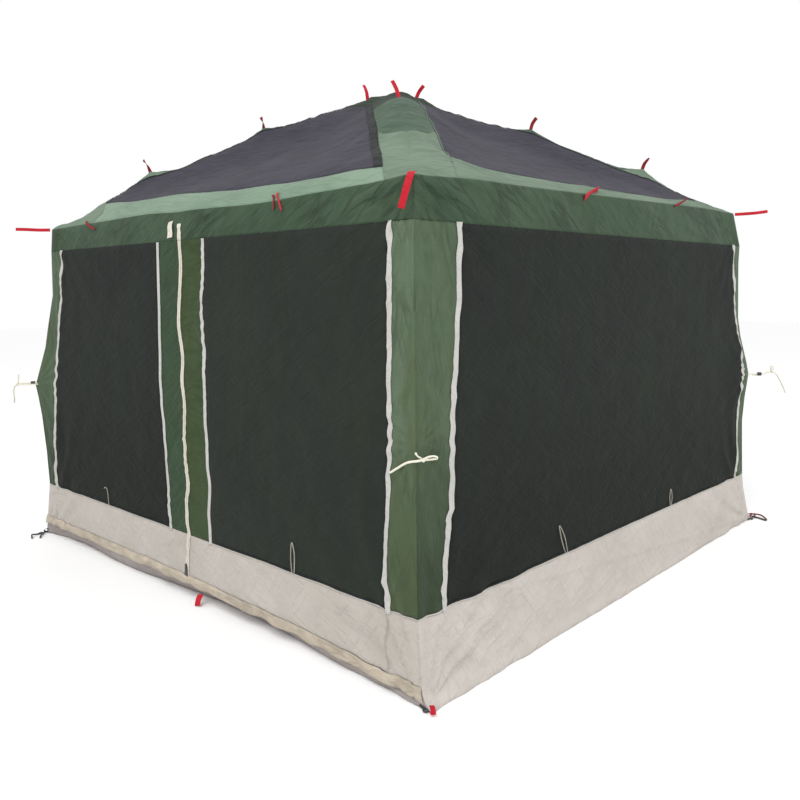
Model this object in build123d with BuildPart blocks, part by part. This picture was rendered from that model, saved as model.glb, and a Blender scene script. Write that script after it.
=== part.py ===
from build123d import *
import os
from math import asin, atan2, degrees, hypot, radians, sqrt, tan

os.makedirs("parts", exist_ok=True)

# A square screen house: a pole frame with a hub, four bowed rafters and four telescoping legs,
# inside a cloth skin with mesh roof panels, mesh windows and a zipped double door in the front wall.
# Millimetres, +Z up, origin on the ground under the peak. The door wall faces -Y.

# Driving dimensions of the skin
EAVE = 1450.0  # half width at the eave fold
BASE = 1535.0  # half width at the ground
EAVE_Z = 1853.0  # height of the eave fold
WINDOW_Z = 1702.0  # top of the windows, bottom of the valance
SKIRT_Z = 308.0  # bottom of the windows, top of the skirt
SILL_Z = 100.0  # horizontal door zip, low on the front skirt
HIP_PROFILE = [(EAVE, EAVE_Z), (1020.0, 2157.0), (550.0, 2400.0), (105.0, 2560.0), (0.0, 2600.0)]
CLOTH = 2.0  # thickness of every cloth panel
ROOF_DROP = 2.5  # the same cloth measured vertically on the sloping roof
TAPE = 1.5  # binding and zip tape, sewn to the outer face
SIDE_WINDOW = 0.873  # window edge as a share of the half width, plain walls
DOOR_EDGE = 0.908  # outer edge of the door leaves as a share of the half width
DOOR_STRIP = 0.14  # inner edge of the door windows as a share of the half width
HIP_BAND = 180.0  # width of the hip band on each side of a hip, in plan
MESH_EDGE = 1360.0  # lower edge of the roof mesh, from the centre
CAP_EDGE = 240.0  # half width of the peak cap
GAP = 1.0  # gap round the door leaves
ZIP_GAP = 0.5  # from the middle of the door zip to each tape
TAPE_WIDTH = 24.0
ZIP_TAPE_WIDTH = 18.0
SPAN = 2000.0  # longer than anything it cuts

# Driving dimensions of the pole frame, with D measured outwards along a diagonal
LEG_D = 1405.0 * sqrt(2)  # leg axis
TUBE_R = 12.5  # upper leg
TUBE_BORE_R = 11.0
INNER_TUBE_R = 10.95  # lower leg
INNER_BORE_R = 9.6
RAFTER_R = 9.5
RAFTER_BORE_R = 8.3
FIT = 0.05  # radial clearance of a sliding or pushed fit
RAFTER_FOOT = (LEG_D, 1806.0)  # ends of the rafter's centre line, as (D, z)
RAFTER_HEAD = (44.0, 2506.0)
RAFTER_BOW = 45.0  # how far the rafter bows above its chord
ELBOW_R = 17.0
SOCKET_WALL = 3.0
SOCKET_LENGTH = 75.0
FERRULE_LENGTH = 130.0
LEG_TOP = 1790.0
UPPER_LEG_LOW = 905.0
LOWER_LEG_TOP = 1000.0
COLLAR_LOW = 872.0
COLLAR_TOP = 948.0
COLLAR_R = 19.0
PIN_R = 3.0
PIN_OFFSET = 29.0  # lever pin from the leg axis, towards the room
PIN_Z = 925.0
LEVER_HALF = 9.0
EAR_INNER = 9.6
EAR_OUTER = 14.6
FOOT_R = 24.0
FOOT_SOLE = 8.0
FOOT_TOP = 46.0
HUB_R = 52.0
HUB_LOW = 2480.0
HUB_TOP = 2524.0

# Trim
TAB_LENGTH = 85.0
TAB_THICK = 3.0
TAB_LEAN = 22.0  # sideways reach of a hip tab's tip
TAB_HALF = 9.0
STRAP_REACH = 196.0
STRAP_HALF = 12.0
TIE_R = 4.5
PEG_EYE_R = 6.0
PEG_EYE = (2216.0, 24.0)  # beside the diagonal, clear of the strap and tie above, as (D, across)
PEG_PLATE_LOW = 1.0
PEG_PLATE_TOP = 6.0

SIDES = {"front": 0, "right": 90, "back": 180, "left": 270}
CORNERS = {"front_right": -45, "back_right": 45, "back_left": 135, "front_left": 225}
CORNER_SIDES = {
    "front_right": ("front", "right"),
    "back_right": ("right", "back"),
    "back_left": ("back", "left"),
    "front_left": ("left", "front"),
}


def half_width(z):
    """Half width of the walls at a height: they lean inwards towards the eave."""
    return BASE - (BASE - EAVE) * z / EAVE_Z


def save(shape, name):
    """Label one finished piece, or a group of separate solids, and write it."""
    shape.label = name
    export_step(shape, f"parts/{name}.step")


def save_group(shapes, name):
    """Write several separate solids as one node."""
    save(Compound([solid for shape in shapes for solid in shape.solids()]), name)


def turned(shape, angle):
    """A copy turned about the vertical axis."""
    return shape.rotate(Axis.Z, angle)


# ---------------------------------------------------------------- cloth


def wall_sheet(inner, outer):
    """The whole front wall between two offsets from its outer face, mitred at both corners."""
    with BuildPart() as sheet:
        with BuildSketch(Plane.YZ):
            with BuildLine():
                Polyline(
                    (-BASE - outer, 0),
                    (-EAVE - outer, EAVE_Z),
                    (-EAVE + inner, EAVE_Z),
                    (-BASE + inner, 0),
                    close=True,
                )
            make_face()
        extrude(amount=SPAN, both=True)
        with BuildSketch(Plane.XY):
            with BuildLine():
                Polyline((0, 0), (-SPAN, -SPAN), (SPAN, -SPAN), close=True)
            make_face()
        extrude(amount=EAVE_Z, mode=Mode.INTERSECT)
    return sheet.part


def roof_sheet():
    """The front quarter of the roof, bent at every point of the hip profile."""
    outer = [(-s, z) for s, z in HIP_PROFILE]
    inner = [(-s, z - ROOF_DROP) for s, z in reversed(HIP_PROFILE)]
    with BuildPart() as sheet:
        with BuildSketch(Plane.YZ):
            with BuildLine():
                Polyline(*outer, *inner, close=True)
            make_face()
        extrude(amount=SPAN, both=True)
        with BuildSketch(Plane.XY.offset(EAVE_Z)):
            with BuildLine():
                Polyline((0, 0), (-SPAN, -SPAN), (SPAN, -SPAN), close=True)
            make_face()
        extrude(amount=SPAN, mode=Mode.INTERSECT)
    return sheet.part


def cut(sheet, plane, points):
    """The part of a sheet inside an outline, drawn in elevation or in plan."""
    with BuildPart() as piece:
        add(sheet)
        with BuildSketch(plane):
            with BuildLine():
                Polyline(*points, close=True)
            make_face()
        extrude(amount=2 * SPAN, mode=Mode.INTERSECT)
    return piece.part


def elevation(left, right, low, high, left_in=0.0, right_in=0.0):
    """Outline on a wall between two shares of the half width, each moved inwards by a gap."""
    return [
        (left * half_width(low) + left_in, low),
        (right * half_width(low) - right_in, low),
        (right * half_width(high) - right_in, high),
        (left * half_width(high) + left_in, high),
    ]


def on_wall(outline, sheet):
    return cut(sheet, Plane.XZ, outline)


def on_roof(outline):
    return cut(roof, Plane.XY, outline)


wall = wall_sheet(CLOTH, 0.0)
tape = wall_sheet(0.0, TAPE)
roof = roof_sheet()

# Roof: mesh, eave band, hip bands and peak cap
mesh_panel = on_roof(
    [
        (HIP_BAND - MESH_EDGE, -MESH_EDGE),
        (MESH_EDGE - HIP_BAND, -MESH_EDGE),
        (CAP_EDGE - HIP_BAND, -CAP_EDGE),
        (HIP_BAND - CAP_EDGE, -CAP_EDGE),
    ]
)
for side, angle in SIDES.items():
    save(turned(mesh_panel, angle), f"roof_mesh_{side}")

eave_band = on_roof(
    [
        (HIP_BAND - EAVE, -EAVE),
        (EAVE - HIP_BAND, -EAVE),
        (MESH_EDGE - HIP_BAND, -MESH_EDGE),
        (HIP_BAND - MESH_EDGE, -MESH_EDGE),
    ]
)
save_group([turned(eave_band, angle) for angle in SIDES.values()], "eave_bands")

hip_half_right = on_roof(
    [(CAP_EDGE - HIP_BAND, -CAP_EDGE), (EAVE - HIP_BAND, -EAVE), (EAVE, -EAVE), (CAP_EDGE, -CAP_EDGE)]
)
hip_half_left = hip_half_right.mirror(Plane.YZ)
hip_halves = [turned(half, angle) for angle in SIDES.values() for half in (hip_half_right, hip_half_left)]
save_group(hip_halves, "hip_bands")

cap_gore = on_roof([(-CAP_EDGE, -CAP_EDGE), (CAP_EDGE, -CAP_EDGE), (0, 0)])
save_group([turned(cap_gore, angle) for angle in SIDES.values()], "peak_cap")

# Valance, plain walls, corner strips and skirts
valance = on_wall(elevation(-1, 1, WINDOW_Z, EAVE_Z), wall)
save_group([turned(valance, angle) for angle in SIDES.values()], "valance")

window = on_wall(elevation(-SIDE_WINDOW, SIDE_WINDOW, SKIRT_Z, WINDOW_Z), wall)
skirt = on_wall(elevation(-1, 1, 0, SKIRT_Z), wall)
for side in ("right", "back", "left"):
    save(turned(window, SIDES[side]), f"window_{side}")
    save(turned(skirt, SIDES[side]), f"skirt_{side}")

window_edge = {side: DOOR_EDGE if side == "front" else SIDE_WINDOW for side in SIDES}
for corner, (first, second) in CORNER_SIDES.items():
    right_end = on_wall(elevation(window_edge[first], 1, SKIRT_Z, WINDOW_Z), wall)
    left_end = on_wall(elevation(-1, -window_edge[second], SKIRT_Z, WINDOW_Z), wall)
    halves = [turned(right_end, SIDES[first]), turned(left_end, SIDES[second])]
    save_group(halves, f"corner_strip_{corner}")

skirt_front = [
    on_wall(elevation(-1, 1, 0, SILL_Z), wall),
    on_wall(elevation(-1, -DOOR_EDGE, SILL_Z, SKIRT_Z), wall),
    on_wall(elevation(DOOR_EDGE, 1, SILL_Z, SKIRT_Z), wall),
]
save_group(skirt_front, "skirt_front")

# Binding tapes beside the windows, just outside the mesh
window_tapes = []
for side, angle in SIDES.items():
    share = window_edge[side]
    edge = GAP if side == "front" else 0.0
    right_tape = elevation(share, share, SKIRT_Z, WINDOW_Z, edge, -edge - TAPE_WIDTH)
    left_tape = [(-x, z) for x, z in right_tape]
    window_tapes += [turned(on_wall(points, tape), angle) for points in (right_tape, left_tape)]
save_group(window_tapes, "window_tapes")

# Door leaves: mesh, centre strip, upper skirt and tapes, the left leaf drawn and the right one mirrored
leaf_top = WINDOW_Z - GAP
leaf_low = SILL_Z + GAP
leaf = {
    "mesh": [on_wall(elevation(-DOOR_EDGE, -DOOR_STRIP, SKIRT_Z, leaf_top, GAP), wall)],
    "strip": [on_wall(elevation(-DOOR_STRIP, 0, SKIRT_Z, leaf_top, 0, ZIP_GAP), wall)],
    "skirt": [on_wall(elevation(-DOOR_EDGE, 0, leaf_low, SKIRT_Z, GAP, ZIP_GAP), wall)],
    "tapes": [
        on_wall(elevation(0, 0, leaf_low, leaf_top, -ZIP_TAPE_WIDTH, ZIP_GAP), tape),
        on_wall(elevation(-DOOR_STRIP, -DOOR_STRIP, SKIRT_Z, leaf_top, 0, -TAPE_WIDTH), tape),
    ],
}
for piece, shapes in leaf.items():
    save_group(shapes, f"door_{piece}_left")
    save_group([shape.mirror(Plane.YZ) for shape in shapes], f"door_{piece}_right")

# Zip slider at the foot of the door zip, and its pull tab hanging in front of it
SLIDER_LOW = 150.0
SLIDER_LENGTH = 26.0
SLIDER_HALF = 8.0
SLIDER_OFF = 0.8  # gap to the tapes
SLIDER_THICK = 7.0
PULL_LENGTH = 46.0
PULL_THICK = 2.4
PULL_HALF = 4.5
slider_sheet = wall_sheet(-(TAPE + SLIDER_OFF), TAPE + SLIDER_OFF + SLIDER_THICK)
slider_top = SLIDER_LOW + SLIDER_LENGTH
slider_outline = [
    (-SLIDER_HALF, SLIDER_LOW),
    (SLIDER_HALF, SLIDER_LOW),
    (0.7 * SLIDER_HALF, slider_top),
    (-0.7 * SLIDER_HALF, slider_top),
]
save(on_wall(slider_outline, slider_sheet), "door_slider")
PULL_OFF = 1.2  # gap to the slider
pull_off = TAPE + SLIDER_OFF + SLIDER_THICK + PULL_OFF
pull_sheet = wall_sheet(-pull_off, pull_off + PULL_THICK)
pull_top = slider_top - 4.0
pull_outline = [
    (-PULL_HALF, pull_top - PULL_LENGTH),
    (PULL_HALF, pull_top - PULL_LENGTH),
    (PULL_HALF, pull_top),
    (-PULL_HALF, pull_top),
]
save(on_wall(pull_outline, pull_sheet), "slider_pull")

# ---------------------------------------------------------------- pole frame

# The rafter's centre line is one arc in the vertical plane through a diagonal, drawn as (D, z)
chord = hypot(RAFTER_FOOT[0] - RAFTER_HEAD[0], RAFTER_FOOT[1] - RAFTER_HEAD[1])
bow_radius = chord**2 / (8 * RAFTER_BOW) + RAFTER_BOW / 2
chord_angle = atan2(RAFTER_HEAD[1] - RAFTER_FOOT[1], RAFTER_FOOT[0] - RAFTER_HEAD[0])
half_turn = asin(chord / 2 / bow_radius)
middle = ((RAFTER_FOOT[0] + RAFTER_HEAD[0]) / 2, (RAFTER_FOOT[1] + RAFTER_HEAD[1]) / 2)
down = Vector(0, -(bow_radius - RAFTER_BOW)).rotate(Axis.Z, -degrees(chord_angle))
bow_centre = (middle[0] + down.X, middle[1] + down.Y)
foot_angle = degrees(atan2(RAFTER_FOOT[1] - bow_centre[1], RAFTER_FOOT[0] - bow_centre[0]))
arc_length = 2 * half_turn * bow_radius


def bow_tube(start, end, outer, inner):
    """A bent tube on the rafter's arc, between two distances from the rafter's foot."""
    from_angle = foot_angle + degrees(start / bow_radius)
    turn = degrees((end - start) / bow_radius)
    with BuildPart() as tube:
        with BuildLine(Plane.XZ) as path:
            CenterArc(bow_centre, bow_radius, from_angle, turn)
        with BuildSketch(Plane(origin=path.line @ 0, z_dir=path.line % 0)):
            Circle(outer)
            if inner:
                Circle(inner, mode=Mode.SUBTRACT)
        sweep()
    return tube.part


def corner_group(shape):
    """The same piece at all four corners."""
    return [turned(shape, angle) for angle in CORNERS.values()]


ferrule_start = arc_length / 2 - FERRULE_LENGTH / 2
joint_at = arc_length / 2
rafter_low = ELBOW_R + 2.0
rafter_high = arc_length - HUB_R / 2
save_group(corner_group(bow_tube(rafter_low, joint_at, RAFTER_R, RAFTER_BORE_R)), "lower_rafters")
save_group(corner_group(bow_tube(joint_at, rafter_high, RAFTER_R, RAFTER_BORE_R)), "upper_rafters")
ferrule = bow_tube(ferrule_start, ferrule_start + FERRULE_LENGTH, RAFTER_R + FIT + 2.0, RAFTER_R + FIT)
save_group(corner_group(ferrule), "rafter_ferrules")

# Elbow: a ball with a socket for the leg below and one for the rafter above
elbow_socket = bow_tube(0, SOCKET_LENGTH, RAFTER_R + FIT + SOCKET_WALL, 0)
elbow_bore = bow_tube(rafter_low, SOCKET_LENGTH + 1, RAFTER_R + FIT, 0)
with BuildPart() as elbow:
    with Locations((RAFTER_FOOT[0], 0, RAFTER_FOOT[1])):
        Sphere(ELBOW_R)
    add(elbow_socket)
    with BuildSketch(Plane.XY.offset(LEG_TOP - SOCKET_LENGTH)):
        with Locations((LEG_D, 0)):
            Circle(TUBE_R + FIT + SOCKET_WALL)
    extrude(until=Until.NEXT)
    add(elbow_bore, mode=Mode.SUBTRACT)
    with BuildSketch(Plane.XY.offset(LEG_TOP - SOCKET_LENGTH - 1)):
        with Locations((LEG_D, 0)):
            Circle(TUBE_R + FIT)
    extrude(amount=SOCKET_LENGTH + 1, mode=Mode.SUBTRACT)
save_group(corner_group(elbow.part), "eave_elbows")

# Hub: a disc with four sockets, and a domed cap that the peak of the cloth sits over
hub_socket = bow_tube(arc_length - HUB_R - SOCKET_LENGTH, arc_length, RAFTER_R + FIT + SOCKET_WALL, 0)
hub_bore = bow_tube(arc_length - HUB_R - SOCKET_LENGTH - 1, rafter_high, RAFTER_R + FIT, 0)
with BuildPart() as hub:
    with BuildSketch(Plane.XY.offset(HUB_LOW)):
        Circle(HUB_R)
    extrude(amount=HUB_TOP - HUB_LOW)
    add(corner_group(hub_socket))
    add(corner_group(hub_bore), mode=Mode.SUBTRACT)
save(hub.part, "hub")

CAP_HEIGHT = 26.0
with BuildPart() as hub_cap:
    with BuildSketch(Plane.XY.offset(HUB_TOP)):
        Circle(HUB_R - 4)
    extrude(amount=CAP_HEIGHT, taper=25)
    fillet(hub_cap.faces().sort_by(Axis.Z)[-1].edges(), 6)
save(hub_cap.part, "hub_cap")

# Telescoping legs
with BuildPart() as upper_leg:
    with BuildSketch(Plane.XY.offset(UPPER_LEG_LOW)):
        with Locations((LEG_D, 0)):
            Circle(TUBE_R)
            Circle(TUBE_BORE_R, mode=Mode.SUBTRACT)
    extrude(amount=LEG_TOP - UPPER_LEG_LOW)
save_group(corner_group(upper_leg.part), "upper_legs")

with BuildPart() as lower_leg:
    with BuildSketch(Plane.XY.offset(FOOT_SOLE)):
        with Locations((LEG_D, 0)):
            Circle(INNER_TUBE_R)
            Circle(INNER_BORE_R, mode=Mode.SUBTRACT)
    extrude(amount=LOWER_LEG_TOP - FOOT_SOLE)

with BuildPart() as foot:
    with BuildSketch(Plane.XZ):
        with BuildLine():
            Polyline(
                (LEG_D, 0),
                (LEG_D + FOOT_R, 0),
                (LEG_D + FOOT_R, FOOT_SOLE),
                (LEG_D + INNER_TUBE_R + FIT + 3.5, FOOT_SOLE + 8),
                (LEG_D + INNER_TUBE_R + FIT + 3.0, FOOT_TOP),
                (LEG_D + INNER_TUBE_R + FIT, FOOT_TOP),
                (LEG_D + INNER_TUBE_R + FIT, FOOT_SOLE),
                (LEG_D, FOOT_SOLE),
                close=True,
            )
        make_face()
    revolve(axis=Axis((LEG_D, 0, 0), (0, 0, 1)))

# Clamp collar at the foot of each upper leg, with two ears that carry the lever's pin
with BuildPart() as collar:
    with BuildSketch(Plane.XY.offset(COLLAR_LOW)):
        with Locations((LEG_D, 0)):
            Circle(COLLAR_R)
    extrude(amount=COLLAR_TOP - COLLAR_LOW)
    with BuildSketch(Plane.XZ):
        with BuildLine():
            Polyline(
                (LEG_D - PIN_OFFSET - 7, PIN_Z + 7),
                (LEG_D, PIN_Z + 14),
                (LEG_D, PIN_Z - 14),
                (LEG_D - PIN_OFFSET - 7, PIN_Z - 7),
                close=True,
            )
        make_face()
    extrude(amount=EAR_OUTER, both=True)
    with BuildSketch(Plane.XZ):
        with Locations((LEG_D - PIN_OFFSET - 9.7, PIN_Z)):
            Rectangle(39, 60)
    extrude(amount=EAR_INNER, both=True, mode=Mode.SUBTRACT)
    with BuildSketch(Plane.XY.offset(COLLAR_LOW)):
        with Locations((LEG_D, 0)):
            Circle(TUBE_BORE_R)
    extrude(amount=COLLAR_TOP - COLLAR_LOW, mode=Mode.SUBTRACT)
    with BuildSketch(Plane.XY.offset(UPPER_LEG_LOW)):
        with Locations((LEG_D, 0)):
            Circle(TUBE_R + FIT)
    extrude(amount=COLLAR_TOP - UPPER_LEG_LOW, mode=Mode.SUBTRACT)
    with BuildSketch(Plane.XZ):
        with Locations((LEG_D - PIN_OFFSET, PIN_Z)):
            Circle(PIN_R + FIT)
    extrude(amount=EAR_OUTER + 1, both=True, mode=Mode.SUBTRACT)
save_group(corner_group(collar.part), "leg_collars")

with BuildPart() as pin:
    with BuildSketch(Plane.XZ):
        with Locations((LEG_D - PIN_OFFSET, PIN_Z)):
            Circle(PIN_R)
    extrude(amount=EAR_OUTER, both=True)
save_group(corner_group(pin.part), "lever_pins")

# Lever: a cam round the pin with a finger plate that lies along the collar when it is shut
CAM_R = 7.5
LEVER_LENGTH = 58.0
LEVER_THICK = 5.0
with BuildPart() as lever:
    with BuildSketch(Plane.XZ):
        with Locations((LEG_D - PIN_OFFSET, PIN_Z)):
            Circle(CAM_R)
        with BuildLine():
            Polyline(
                (LEG_D - PIN_OFFSET - CAM_R, PIN_Z),
                (LEG_D - PIN_OFFSET - CAM_R + LEVER_THICK, PIN_Z),
                (LEG_D - PIN_OFFSET - CAM_R + LEVER_THICK, PIN_Z - LEVER_LENGTH + 6),
                (LEG_D - PIN_OFFSET - CAM_R - 3, PIN_Z - LEVER_LENGTH),
                (LEG_D - PIN_OFFSET - CAM_R - 6, PIN_Z - LEVER_LENGTH + 3),
                (LEG_D - PIN_OFFSET - CAM_R, PIN_Z - LEVER_LENGTH + 14),
                close=True,
            )
        make_face()
        with Locations((LEG_D - PIN_OFFSET, PIN_Z)):
            Circle(PIN_R + FIT, mode=Mode.SUBTRACT)
    extrude(amount=LEVER_HALF, both=True)

for corner, angle in CORNERS.items():
    save(turned(lower_leg.part, angle), f"lower_leg_{corner}")
    save(turned(foot.part, angle), f"foot_{corner}")
    save(turned(lever.part, angle), f"clamp_lever_{corner}")

# ---------------------------------------------------------------- trim

# Webbing tabs: three on each hip, two on each eave, a long strap at each eave corner,
# a loop at each ground corner and one under the door
tabs = []
for s, z in HIP_PROFILE[1:4]:
    with BuildPart() as hip_tab:
        with BuildSketch(Plane.XZ):
            with BuildLine():
                base_d = s * sqrt(2)
                Polyline(
                    (base_d, z + 1),
                    (base_d + TAB_THICK, z + 1),
                    (base_d + TAB_THICK + TAB_LEAN, z + TAB_LENGTH),
                    (base_d + TAB_LEAN, z + TAB_LENGTH),
                    close=True,
                )
            make_face()
        extrude(amount=TAB_HALF, both=True)
    tabs += corner_group(hip_tab.part)

EAVE_TAB_X = 700.0
EAVE_TAB_DROP = 60.0
for x in (-EAVE_TAB_X, EAVE_TAB_X):
    eave_tab = on_wall(
        [(x - 10, EAVE_Z - EAVE_TAB_DROP), (x + 10, EAVE_Z - EAVE_TAB_DROP), (x + 10, EAVE_Z), (x - 10, EAVE_Z)],
        tape,
    )
    tabs += [turned(eave_tab, angle) for angle in SIDES.values()]

eave_corner_d = EAVE * sqrt(2) + 2.0
with BuildPart() as corner_strap:
    with BuildSketch(Plane.XY.offset(EAVE_Z)):
        with Locations((eave_corner_d + STRAP_REACH / 2, 0)):
            Rectangle(STRAP_REACH, 2 * STRAP_HALF)
    extrude(amount=TAB_THICK)
tabs += corner_group(corner_strap.part)

ground_corner_d = BASE * sqrt(2) + 1.0
GROUND_LOOP_REACH = 34.0
with BuildPart() as ground_loop:
    with BuildSketch(Plane.XY.offset(PEG_PLATE_TOP + 0.5)):
        with Locations((ground_corner_d + GROUND_LOOP_REACH / 2, 0)):
            Rectangle(GROUND_LOOP_REACH, 2 * TAB_HALF)
    extrude(amount=TAB_THICK)
tabs += corner_group(ground_loop.part)

DOOR_LOOP_X = 145.0
DOOR_LOOP_HALF = 20.0
DOOR_LOOP_TOP = 36.0
tabs.append(
    on_wall(
        [
            (DOOR_LOOP_X - DOOR_LOOP_HALF, 0),
            (DOOR_LOOP_X + DOOR_LOOP_HALF, 0),
            (DOOR_LOOP_X + DOOR_LOOP_HALF, DOOR_LOOP_TOP),
            (DOOR_LOOP_X - DOOR_LOOP_HALF, DOOR_LOOP_TOP),
        ],
        tape,
    )
)
save_group(tabs, "webbing_tabs")

# Peg plates: flat hooks with a side ring for a tent peg, outside each ground corner
PEG_PLATE_HALF = 12.0
PEG_PLATE_LENGTH = 60.0
PEG_RING_R = 14.0
with BuildPart() as peg_plate:
    with BuildSketch(Plane.XY.offset(PEG_PLATE_LOW)):
        with Locations((ground_corner_d + PEG_PLATE_LENGTH / 2, 0)):
            RectangleRounded(PEG_PLATE_LENGTH, 2 * PEG_PLATE_HALF, 8)
        with Locations(PEG_EYE):
            Circle(PEG_RING_R)
            Circle(PEG_EYE_R, mode=Mode.SUBTRACT)
    extrude(amount=PEG_PLATE_TOP - PEG_PLATE_LOW)
save_group(corner_group(peg_plate.part), "peg_plates")


def cord_tube(points, radius):
    """A round cord along straight runs joined by tangent arcs as large as the runs allow."""
    spots = [Vector(*point) for point in points]
    runs = [b - a for a, b in zip(spots, spots[1:])]
    radii = []
    for before, after in zip(runs, runs[1:]):
        half = radians(before.get_angle(after)) / 2
        radii.append(0.45 * min(before.length, after.length) / tan(half))
    print("cord radii", [round(r) for r in radii], "runs", round(sum(run.length for run in runs)))
    with BuildPart() as cord:
        with BuildLine() as path:
            FilletPolyline(*spots, radius=radii)
        with BuildSketch(Plane(origin=path.line @ 0, z_dir=path.line % 0)):
            Circle(radius)
        sweep()
    return cord.part


# Corner ties, at the middle height of each corner, as (D, across, z). Three are pulled straight out
# and end in a hanging tail. The front right one is wrapped round its corner.
TIE_LEVEL = 928
TIE_OUT = [
    (2114, 2, 926),
    (2160, 0, TIE_LEVEL),
    (2232, 0, TIE_LEVEL),
    (2272, -2, 925),
    (2304, 1, 922),
    (2324, 2, 902),
    (2330, 0, 870),
    (2326, -2, 838),
    (2330, 0, 806),
]
TIE_RAISED = [
    (2114, 2, 924),
    (2160, 0, TIE_LEVEL),
    (2232, 0, TIE_LEVEL),
    (2270, -2, 944),
    (2298, 1, 942),
    (2322, 2, 918),
    (2342, 0, 886),
    (2360, -2, 848),
    (2378, 0, 810),
]
TIE_WRAPPED = [
    (2056, 72, 868),
    (2079, 48, 871),
    (2103, 24, 874),
    (2131, 0, 876),
    (2112, -16, 871),
    (2094, -34, 863),
    (2070, -60, 842),
    (2042, -89, 817),
]
ROUTES = {
    "front_right": TIE_WRAPPED,
    "back_right": TIE_RAISED,
    "back_left": TIE_OUT,
    "front_left": TIE_OUT,
}
for corner, angle in CORNERS.items():
    tie = cord_tube(ROUTES[corner], TIE_R)
    print(corner, "tie length", round(tie.volume / (3.14159 * TIE_R**2)))
    save(turned(tie, angle), f"corner_tie_{corner}")

# Cord locks on the three ties that are pulled out
LOCK_R = 11.0
LOCK_LENGTH = 22.0
LOCK_D = 2208.0
with BuildPart() as cord_lock:
    with BuildSketch(Plane.YZ.offset(LOCK_D - LOCK_LENGTH / 2)):
        with Locations((0, TIE_LEVEL)):
            Circle(LOCK_R)
            Circle(TIE_R + 2.0, mode=Mode.SUBTRACT)
    extrude(amount=LOCK_LENGTH)
save_group([turned(cord_lock.part, CORNERS[c]) for c in CORNERS if c != "front_right"], "cord_locks")
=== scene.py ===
"""Looks of a screen house: cloth, mesh, tapes, webbing and cords built round its packed pole frame.

Metres, +Z up, the door wall faces -Y. Every wall is one surface function of a share across the wall and
a height, and every roof quarter is one of a distance from the middle and a place across, so the pieces
cut from them meet at their seams.
"""

import math

import bmesh
import bpy
from mathutils import Matrix, Vector, noise


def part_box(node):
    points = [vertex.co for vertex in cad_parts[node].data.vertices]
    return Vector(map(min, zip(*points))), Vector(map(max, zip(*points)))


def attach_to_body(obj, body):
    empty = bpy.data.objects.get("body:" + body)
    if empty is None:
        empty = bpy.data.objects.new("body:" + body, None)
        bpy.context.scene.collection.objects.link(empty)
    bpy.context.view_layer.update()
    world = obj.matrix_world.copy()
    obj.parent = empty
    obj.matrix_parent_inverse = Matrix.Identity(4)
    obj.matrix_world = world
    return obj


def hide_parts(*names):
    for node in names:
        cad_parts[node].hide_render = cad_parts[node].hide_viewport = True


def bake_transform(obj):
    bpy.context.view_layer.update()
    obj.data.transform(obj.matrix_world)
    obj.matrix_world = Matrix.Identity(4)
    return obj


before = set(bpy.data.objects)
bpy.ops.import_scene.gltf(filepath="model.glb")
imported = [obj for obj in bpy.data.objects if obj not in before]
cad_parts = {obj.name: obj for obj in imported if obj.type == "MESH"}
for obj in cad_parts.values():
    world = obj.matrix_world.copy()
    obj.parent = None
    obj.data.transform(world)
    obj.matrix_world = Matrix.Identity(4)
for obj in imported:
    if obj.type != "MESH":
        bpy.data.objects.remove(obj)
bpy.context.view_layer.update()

# ---------------------------------------------------------------- sizes, read from the frame

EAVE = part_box("eave_bands")[1][0]
EAVE_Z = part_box("valance")[1][2]
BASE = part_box("skirt_right")[1][0]
WINDOW_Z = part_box("window_right")[1][2]
SKIRT_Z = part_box("window_right")[0][2]
SILL_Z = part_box("door_skirt_left")[0][2]
CLOTH = 0.0012
FINE = 0.00005  # closer points than this on a small piece are one
TAPE_WIDTH = 0.024
ZIP_WIDTH = 0.026

CORNERS = {"front_right": (1, -1), "back_right": (1, 1), "back_left": (-1, 1), "front_left": (-1, -1)}
WALLS = {
    "front": ("front_left", "front_right"),
    "right": ("front_right", "back_right"),
    "back": ("back_right", "back_left"),
    "left": ("back_left", "front_left"),
}
OUTWARD = {"front": (0, -1), "right": (1, 0), "back": (0, 1), "left": (-1, 0)}


def along(points, x):
    """The value at x on a line through (x, value) points, which run downwards in x."""
    if x >= points[0][0]:
        return points[0][1]
    for (x0, v0), (x1, v1) in zip(points, points[1:]):
        if x >= x1:
            share = (x0 - x) / (x0 - x1)
            share = share * share * (3 - 2 * share)
            return v0 + (v1 - v0) * share
    return points[-1][1]


def straight_line(points, x):
    """The same without rounding, and carried on past the first point."""
    for (x0, v0), (x1, v1) in zip(points, points[1:]):
        if x >= x1:
            return v0 + (v1 - v0) * (x0 - x) / (x0 - x1)
    return points[-1][1]


def clamp(x, low=0.0, high=1.0):
    return max(low, min(high, x))


# ---------------------------------------------------------------- camera, light and floor


CAMERA_PLACE = (3.3425, -3.5131, 1.4687)
CAMERA_TURN = (133.6, -7.91, -0.55)  # yaw, pitch and roll in degrees
LENS = 36.1


def add_camera():
    """Eye height camera off the front right corner, looking at it a little downwards."""
    yaw, pitch, roll = (math.radians(a) for a in CAMERA_TURN)
    look = Vector((math.cos(pitch) * math.cos(yaw), math.cos(pitch) * math.sin(yaw), math.sin(pitch)))
    side = Vector((math.sin(yaw), -math.cos(yaw), 0))
    up = side.cross(look)
    right = side * math.cos(roll) + up * math.sin(roll)
    up = up * math.cos(roll) - side * math.sin(roll)
    data = bpy.data.cameras.new("camera")
    data.sensor_width = 36
    data.lens = LENS
    camera = bpy.data.objects.new("camera", data)
    bpy.context.scene.collection.objects.link(camera)
    turn = Matrix((right, up, -look)).transposed().to_4x4()
    camera.matrix_world = Matrix.Translation(CAMERA_PLACE) @ turn
    bpy.context.scene.camera = camera


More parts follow.
